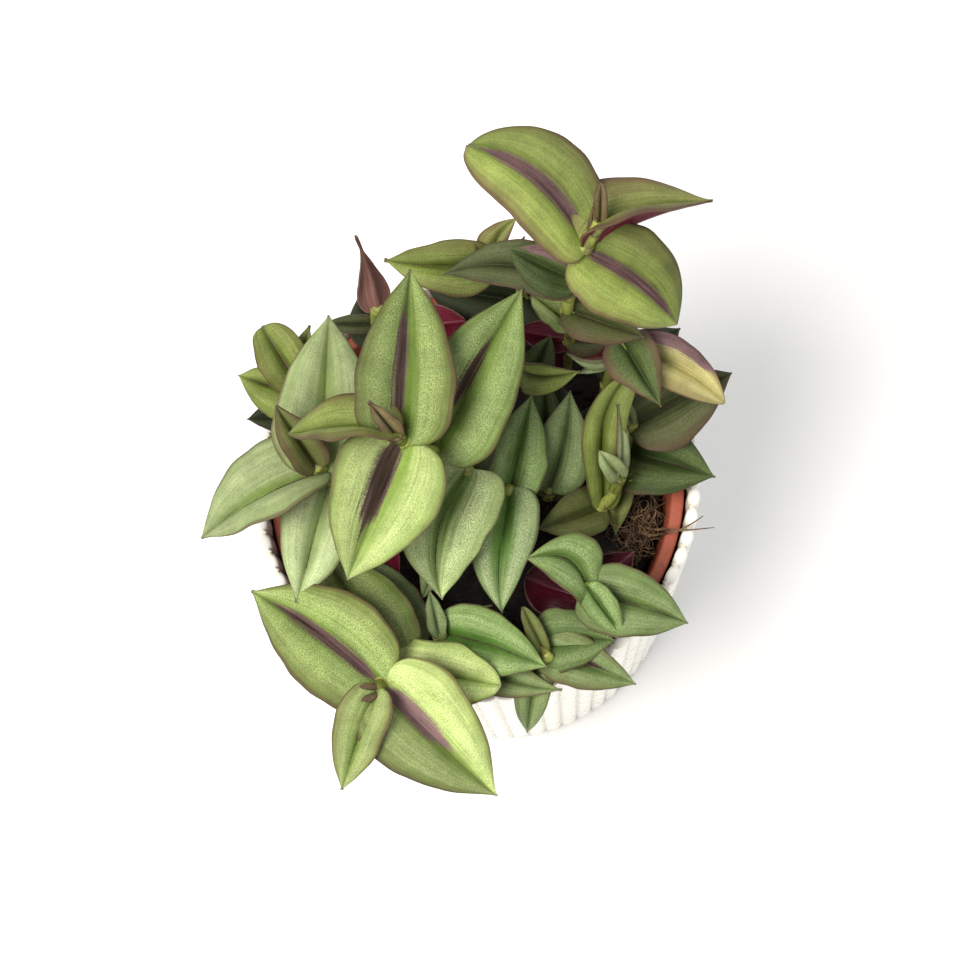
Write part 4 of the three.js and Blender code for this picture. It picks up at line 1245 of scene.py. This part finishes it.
LEAFY_STEMS["front_left"] = {
    "foot": (-19.5, -41),
    "path": [(-20, -46, 99), (-22, -50, 108), (-24.7, -53.7, 114), (-26, -55.5, 116)],
    "leaves": [
        blade((-25, -53.4, 114), (-58.9, -29.3, 112), 27.5, "speckled_lime", "long", light=1.36,
              tone=0.08, flush=0.25, fold=14, bend=0.04),
        blade((-24, -53.6, 114), (5.8, -83.2, 104), 29, "bright", "mauve", tone=-0.38, flush=0.2, roll=-6,
              fold=14, taper=0.85),
        blade((-26, -55.5, 116), (-35.1, -81.6, 110), 16, "bright", light=0.85, flush=0.35, roll=-12,
              fold=28, arch=0.05),
        blade((-21.5, -49, 106), (-38, -22, 107), 25, "speckled_lime", light=0.85, fold=16, taper=0.6),
        blade((-21.5, -49, 106.5), (6.8, -54, 109), 18, "bright", light=1.3, fold=16, taper=0.5, wave=3),
        blade((-26, -55.5, 116), (-34, -57, 118), 6, "young", light=0.55, flush=0.9, fold=40, arch=0),
        blade((-20, -45, 100), (-31, -19, 103), 24, "grey_green", fold=16),
    ],
}
leaves = sum(len(stem["leaves"]) for stem in LEAFY_STEMS.values())
print(len(LEAFY_STEMS), "leafy stems with", leaves, "leaves")

# %% [markdown]
# A blade starts as a flat grid, whose x runs from edge to edge and whose y runs from base to tip, and
# each of its points moves to its place on the blade. Solidify gives the blade its thickness, and the new
# lower skin gets the underside's finish. What the finishes read is written on the points.

# %% Add one blade
ACROSS = [0, 0.025, 0.07, 0.15, 0.26, 0.38, 0.5, 0.62, 0.73, 0.83, 0.91, 0.965, 1]
ALONG = 44
TOP, UNDER, STALK = 0, 1, 2
UV_UNIT = 100
LIGHT_VARIES = 0.06


def finish_values(leaf, draw):
    """The colours and shares that a blade's finish reads, by the names they are read by."""
    skin, silver, heart, under, grain = LOOKS[leaf["look"]]
    *stripe, paleness = STRIPES[leaf["stripe"]]
    # painted light and shade: all of a leaf's colours are scaled by its light, give or take a little at
    # random
    light = leaf["light"] * draw.uniform(1 - LIGHT_VARIES, 1 + LIGHT_VARIES)
    shares = {"skin": grain, "silver": leaf["flush"], "heart": leaf["heart"], "under": paleness}
    values = {}
    for colour, (name, share) in zip((skin, silver, heart, under), shares.items()):
        values[name] = [c * light for c in linear(colour)[:3]] + [share]
    values["stripe"] = stripe
    return values


def add_blade(bm, leaf, base, draw):
    """Adds one blade to the stem's mesh."""
    point, length = blade_shape(leaf, base, draw)
    seed = draw.random()
    values = finish_values(leaf, draw)
    count = len(ACROSS) - 1
    part = bmesh.new()
    layers = {name: part.verts.layers.float_color.new(name) for name in ("place", *values)}
    uv_layer = part.loops.layers.uv.new("leaf")
    bmesh.ops.create_grid(part, x_segments=2 * count, y_segments=ALONG, size=1)
    sizes = {}
    for vert in part.verts:
        step = round(vert.co.x * count)
        a = math.copysign(ACROSS[abs(step)], step)
        s = 0.5 - 0.5 * math.cos(math.pi * (vert.co.y + 1) / 2)
        place, half = point(a, s)
        vert.co = place * MM
        # the place's fourth value is the painted light and shade of the blade's halves
        vert[layers["place"]] = (a, s, seed, leaf["tone"])
        for name, value in values.items():
            vert[layers[name]] = value
        sizes[vert] = (a * half, s * length)
    for face in part.faces:
        face.material_index = TOP
        for loop in face.loops:
            across, down = sizes[loop.vert]
            loop[uv_layer].uv = (across / UV_UNIT + 0.5, down / UV_UNIT)
    top = set(part.verts)
    part.normal_update()
    bmesh.ops.solidify(part, geom=part.faces[:], thickness=BLADE["thickness"] * MM)
    for face in part.faces:
        if not any(vert in top for vert in face.verts):
            face.material_index = UNDER
    join(bm, part)


print("a blade is", 2 * len(ACROSS) - 1, "points across and", ALONG + 1, "along")

# %% [markdown]
# Each leaf clasps the stem with a sheath, a short sleeve under the blade with a fringe of fine hairs.
# The sleeve is a tube round the stem's own curve, a little wider at its mouth.

# %% Stem and sheath
SHEATH = {"length": 5, "low": 1.6, "mouth": 2.05, "sides": 12}
HAIRS = {"count": 8, "length": 1.6, "radius": 0.05, "tip": 0.3, "rooted": 0.95, "sides": 3}


def stem_curve(stem):
    """Points along the middle of a stem, from the bottom of its hole in the soil."""
    foot = seen((*stem["foot"], SOIL["top"]))
    low = Vector((foot.x, foot.y, SOIL["top"] - STEM["hole_depth"]))
    middle = Vector((foot.x, foot.y, SOIL["top"] + STEM["collar"]))
    high = Vector((foot.x, foot.y, STEM["straight_top"]))
    points = [low, middle, high] + [seen(place) for place in stem["path"]]
    return [curve_point(points, i / SAMPLES) for i in range(SAMPLES + 1)]


def add_hairs(bm, mouth_centre, ahead, draw):
    """A fringe of fine hairs round the mouth of a sheath."""
    side = ahead.orthogonal()
    for _ in range(HAIRS["count"]):
        side.rotate(Quaternion(ahead, math.tau / HAIRS["count"]))
        root = mouth_centre + side * SHEATH["mouth"] * HAIRS["rooted"]
        end = root + (ahead + side * draw.uniform(0.1, 0.6)) * HAIRS["length"] * draw.uniform(0.6, 1)
        radii = [HAIRS["radius"], HAIRS["radius"] * HAIRS["tip"]]
        tube(bm, [root, end], radii, HAIRS["sides"], STALK)


def add_sheath(bm, curve, at, draw):
    """The sleeve below a leaf, along the stem's curve down from that point."""
    points = [curve[at]]
    i = at
    while i > 0 and (points[-1] - points[0]).length < SHEATH["length"]:
        i -= 1
        points.append(curve[i])
    if len(points) < 3:
        return
    points.reverse()
    last = len(points) - 1
    widening = SHEATH["mouth"] - SHEATH["low"]
    radii = [SHEATH["low"] + widening * (k / last) ** 2 for k in range(last + 1)]
    tube(bm, points, radii, SHEATH["sides"], STALK)
    add_hairs(bm, points[-1], (points[-1] - points[-2]).normalized(), draw)


print("a sheath is", SHEATH["length"], "mm long, with", HAIRS["count"], "hairs")


# %% Build every leafy stem
def make_leafy_stem(name, stem, number):
    """One stem with its sheathed leaves, each at the curve's nearest point to its base."""
    draw = random.Random(100 + number)
    bm = bmesh.new()
    curve = stem_curve(stem)
    for leaf in stem["leaves"]:
        wanted = seen(leaf["base"])
        at = min(range(len(curve)), key=lambda i: (curve[i] - wanted).length)
        add_blade(bm, leaf, curve[at], draw)
        add_sheath(bm, curve, at, draw)
    radii = [STEM["radius"]] * len(curve)
    radii[-1] *= STEM["tip"]
    tube(bm, curve, radii, STEM["sides"], STALK)
    piece = finish_mesh("stem_" + name, bm, leaf_materials)
    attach(piece, "root")
    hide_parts("leafy_stem_" + name)
    return piece


leafy_stems = [make_leafy_stem(name, stem, i) for i, (name, stem) in enumerate(LEAFY_STEMS.items())]
print("leafy stems have", sum(len(piece.data.polygons) for piece in leafy_stems), "faces")

# %% [markdown]
# ## The root tuft
#
# A knot of dry, brown roots lies on the soil by the rim and reaches out over both pots. It is many fine
# fibres: a few long strands that the model has too, and a tangle of short ones that wander from the
# middle of the knot by a seeded draw.

# %% Where the long roots lie
ROOT_MIDDLE = (44, -12.5, 87.6)
ROOT_STRANDS = [
    [(43, -12, 88), (47, -13, 90.7), (50, -13, 94.4), (54, -13.3, 99.5), (58, -13, 100), (63, -12.5, 100)],
    [(43, -14, 88.3), (47, -14.5, 91), (50, -14, 94.6), (53, -13.5, 99), (57, -11.5, 100), (60, -9.5, 101)],
    [(42, -9, 88), (45, -12, 88.3), (47.5, -9, 90), (47, -5, 90.5)],
    [(42, -16, 88), (44, -13, 88), (45, -16, 88.6), (42, -19, 88)],
    [(46, -9, 89.5), (44, -13, 88), (42, -16, 88), (39.5, -16, 88.5)],
    [(46, -15, 90.5), (44.5, -13, 88.6), (42, -9, 88), (39, -8, 88.5)],
]
print(len(ROOT_STRANDS), "long roots")


# %% Dry root
def dry_root():
    """Dried root fibre: dull brown, paler where it has dried out, rough with soil dust."""
    material, tree, skin = new_material("dry_root_fibre", 0.85, 1.45)
    place = add(tree, "TexCoord", give="Object")
    blotches = add(tree, "TexNoise", {"Vector": place, "Scale": 500, "Detail": 4, "Roughness": 0.6})
    dry = add(tree, "MapRange", [blotches, 0.35, 0.65], **SOFT)
    tree.links.new(add(tree, "Mix", [dry, "#33231a", "#84684a"], **COLOUR), skin["Base Color"])
    dust = add(tree, "TexNoise", {"Vector": place, "Scale": 2500})
    tree.links.new(add(tree, "Bump", {"Height": dust, "Distance": 0.1 * MM}), skin["Normal"])
    return material


root_finish = dry_root()
print("finish:", root_finish.name)

# %% Root tuft
STRANDS = {"steps_each": 6, "thick": 0.42, "thin": 0.12, "sides": 6}
FIBRES = {"count": 90, "steps": 12, "step": 1.15, "thick": 0.22, "thin": 0.07, "sides": 4}
WANDER = {"spread": 2.6, "swerve": 0.45, "pull": 0.03, "clearance": 0.4}


def add_root(bm, points, kind):
    """A root through those points, evenly thinner towards its end."""
    last = len(points) - 1
    radii = [kind["thick"] + (kind["thin"] - kind["thick"]) * i / last for i in range(last + 1)]
    tube(bm, points, radii, kind["sides"])


def wandering_points(middle, draw):
    """The way of a short fibre, which swerves at each step and stays near the knot and above the soil."""
    spread = WANDER["spread"]
    point = middle + Vector((draw.gauss(0, spread), draw.gauss(0, spread), draw.uniform(-1, 1.5)))
    heading = Vector((draw.uniform(-1, 1), draw.uniform(-1, 1), draw.uniform(-0.3, 0.4))).normalized()
    points = [point]
    for _ in range(FIBRES["steps"]):
        swerve = Vector((draw.gauss(0, 1), draw.gauss(0, 1), draw.gauss(0, 0.5))) * WANDER["swerve"]
        heading = (heading + swerve + (middle - point) * WANDER["pull"]).normalized()
        point = point + heading * FIBRES["step"]
        point.z = max(point.z, soil_top(point.x, point.y) + WANDER["clearance"])
        points.append(point.copy())
    return points


def make_root_tuft():
    """The long strands, and the short fibres that wander about the knot."""
    bm = bmesh.new()
    draw = random.Random(5)
    for strand in ROOT_STRANDS:
        knots = [seen(place) for place in strand]
        count = STRANDS["steps_each"] * (len(knots) - 1)
        add_root(bm, [curve_point(knots, i / count) for i in range(count + 1)], STRANDS)
    middle = seen(ROOT_MIDDLE)
    for _ in range(FIBRES["count"]):
        add_root(bm, wandering_points(middle, draw), FIBRES)
    return finish_mesh("dry_root_fibres", bm, [root_finish])


root_tuft = make_root_tuft()
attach(root_tuft, "root")
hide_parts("root_tuft")
print("root tuft:", len(root_tuft.data.polygons), "faces")

# %% [markdown]
# ## Size
#
# The dressed plant keeps the model's size. Both boxes are written down side by side.

# %% Compare the boxes and finish
visual_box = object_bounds()
for low_high, cad, visual in zip(("low", "high"), cad_box, visual_box):
    print(low_high, "cad", [round(c / MM, 1) for c in cad], "visual", [round(c / MM, 1) for c in visual])
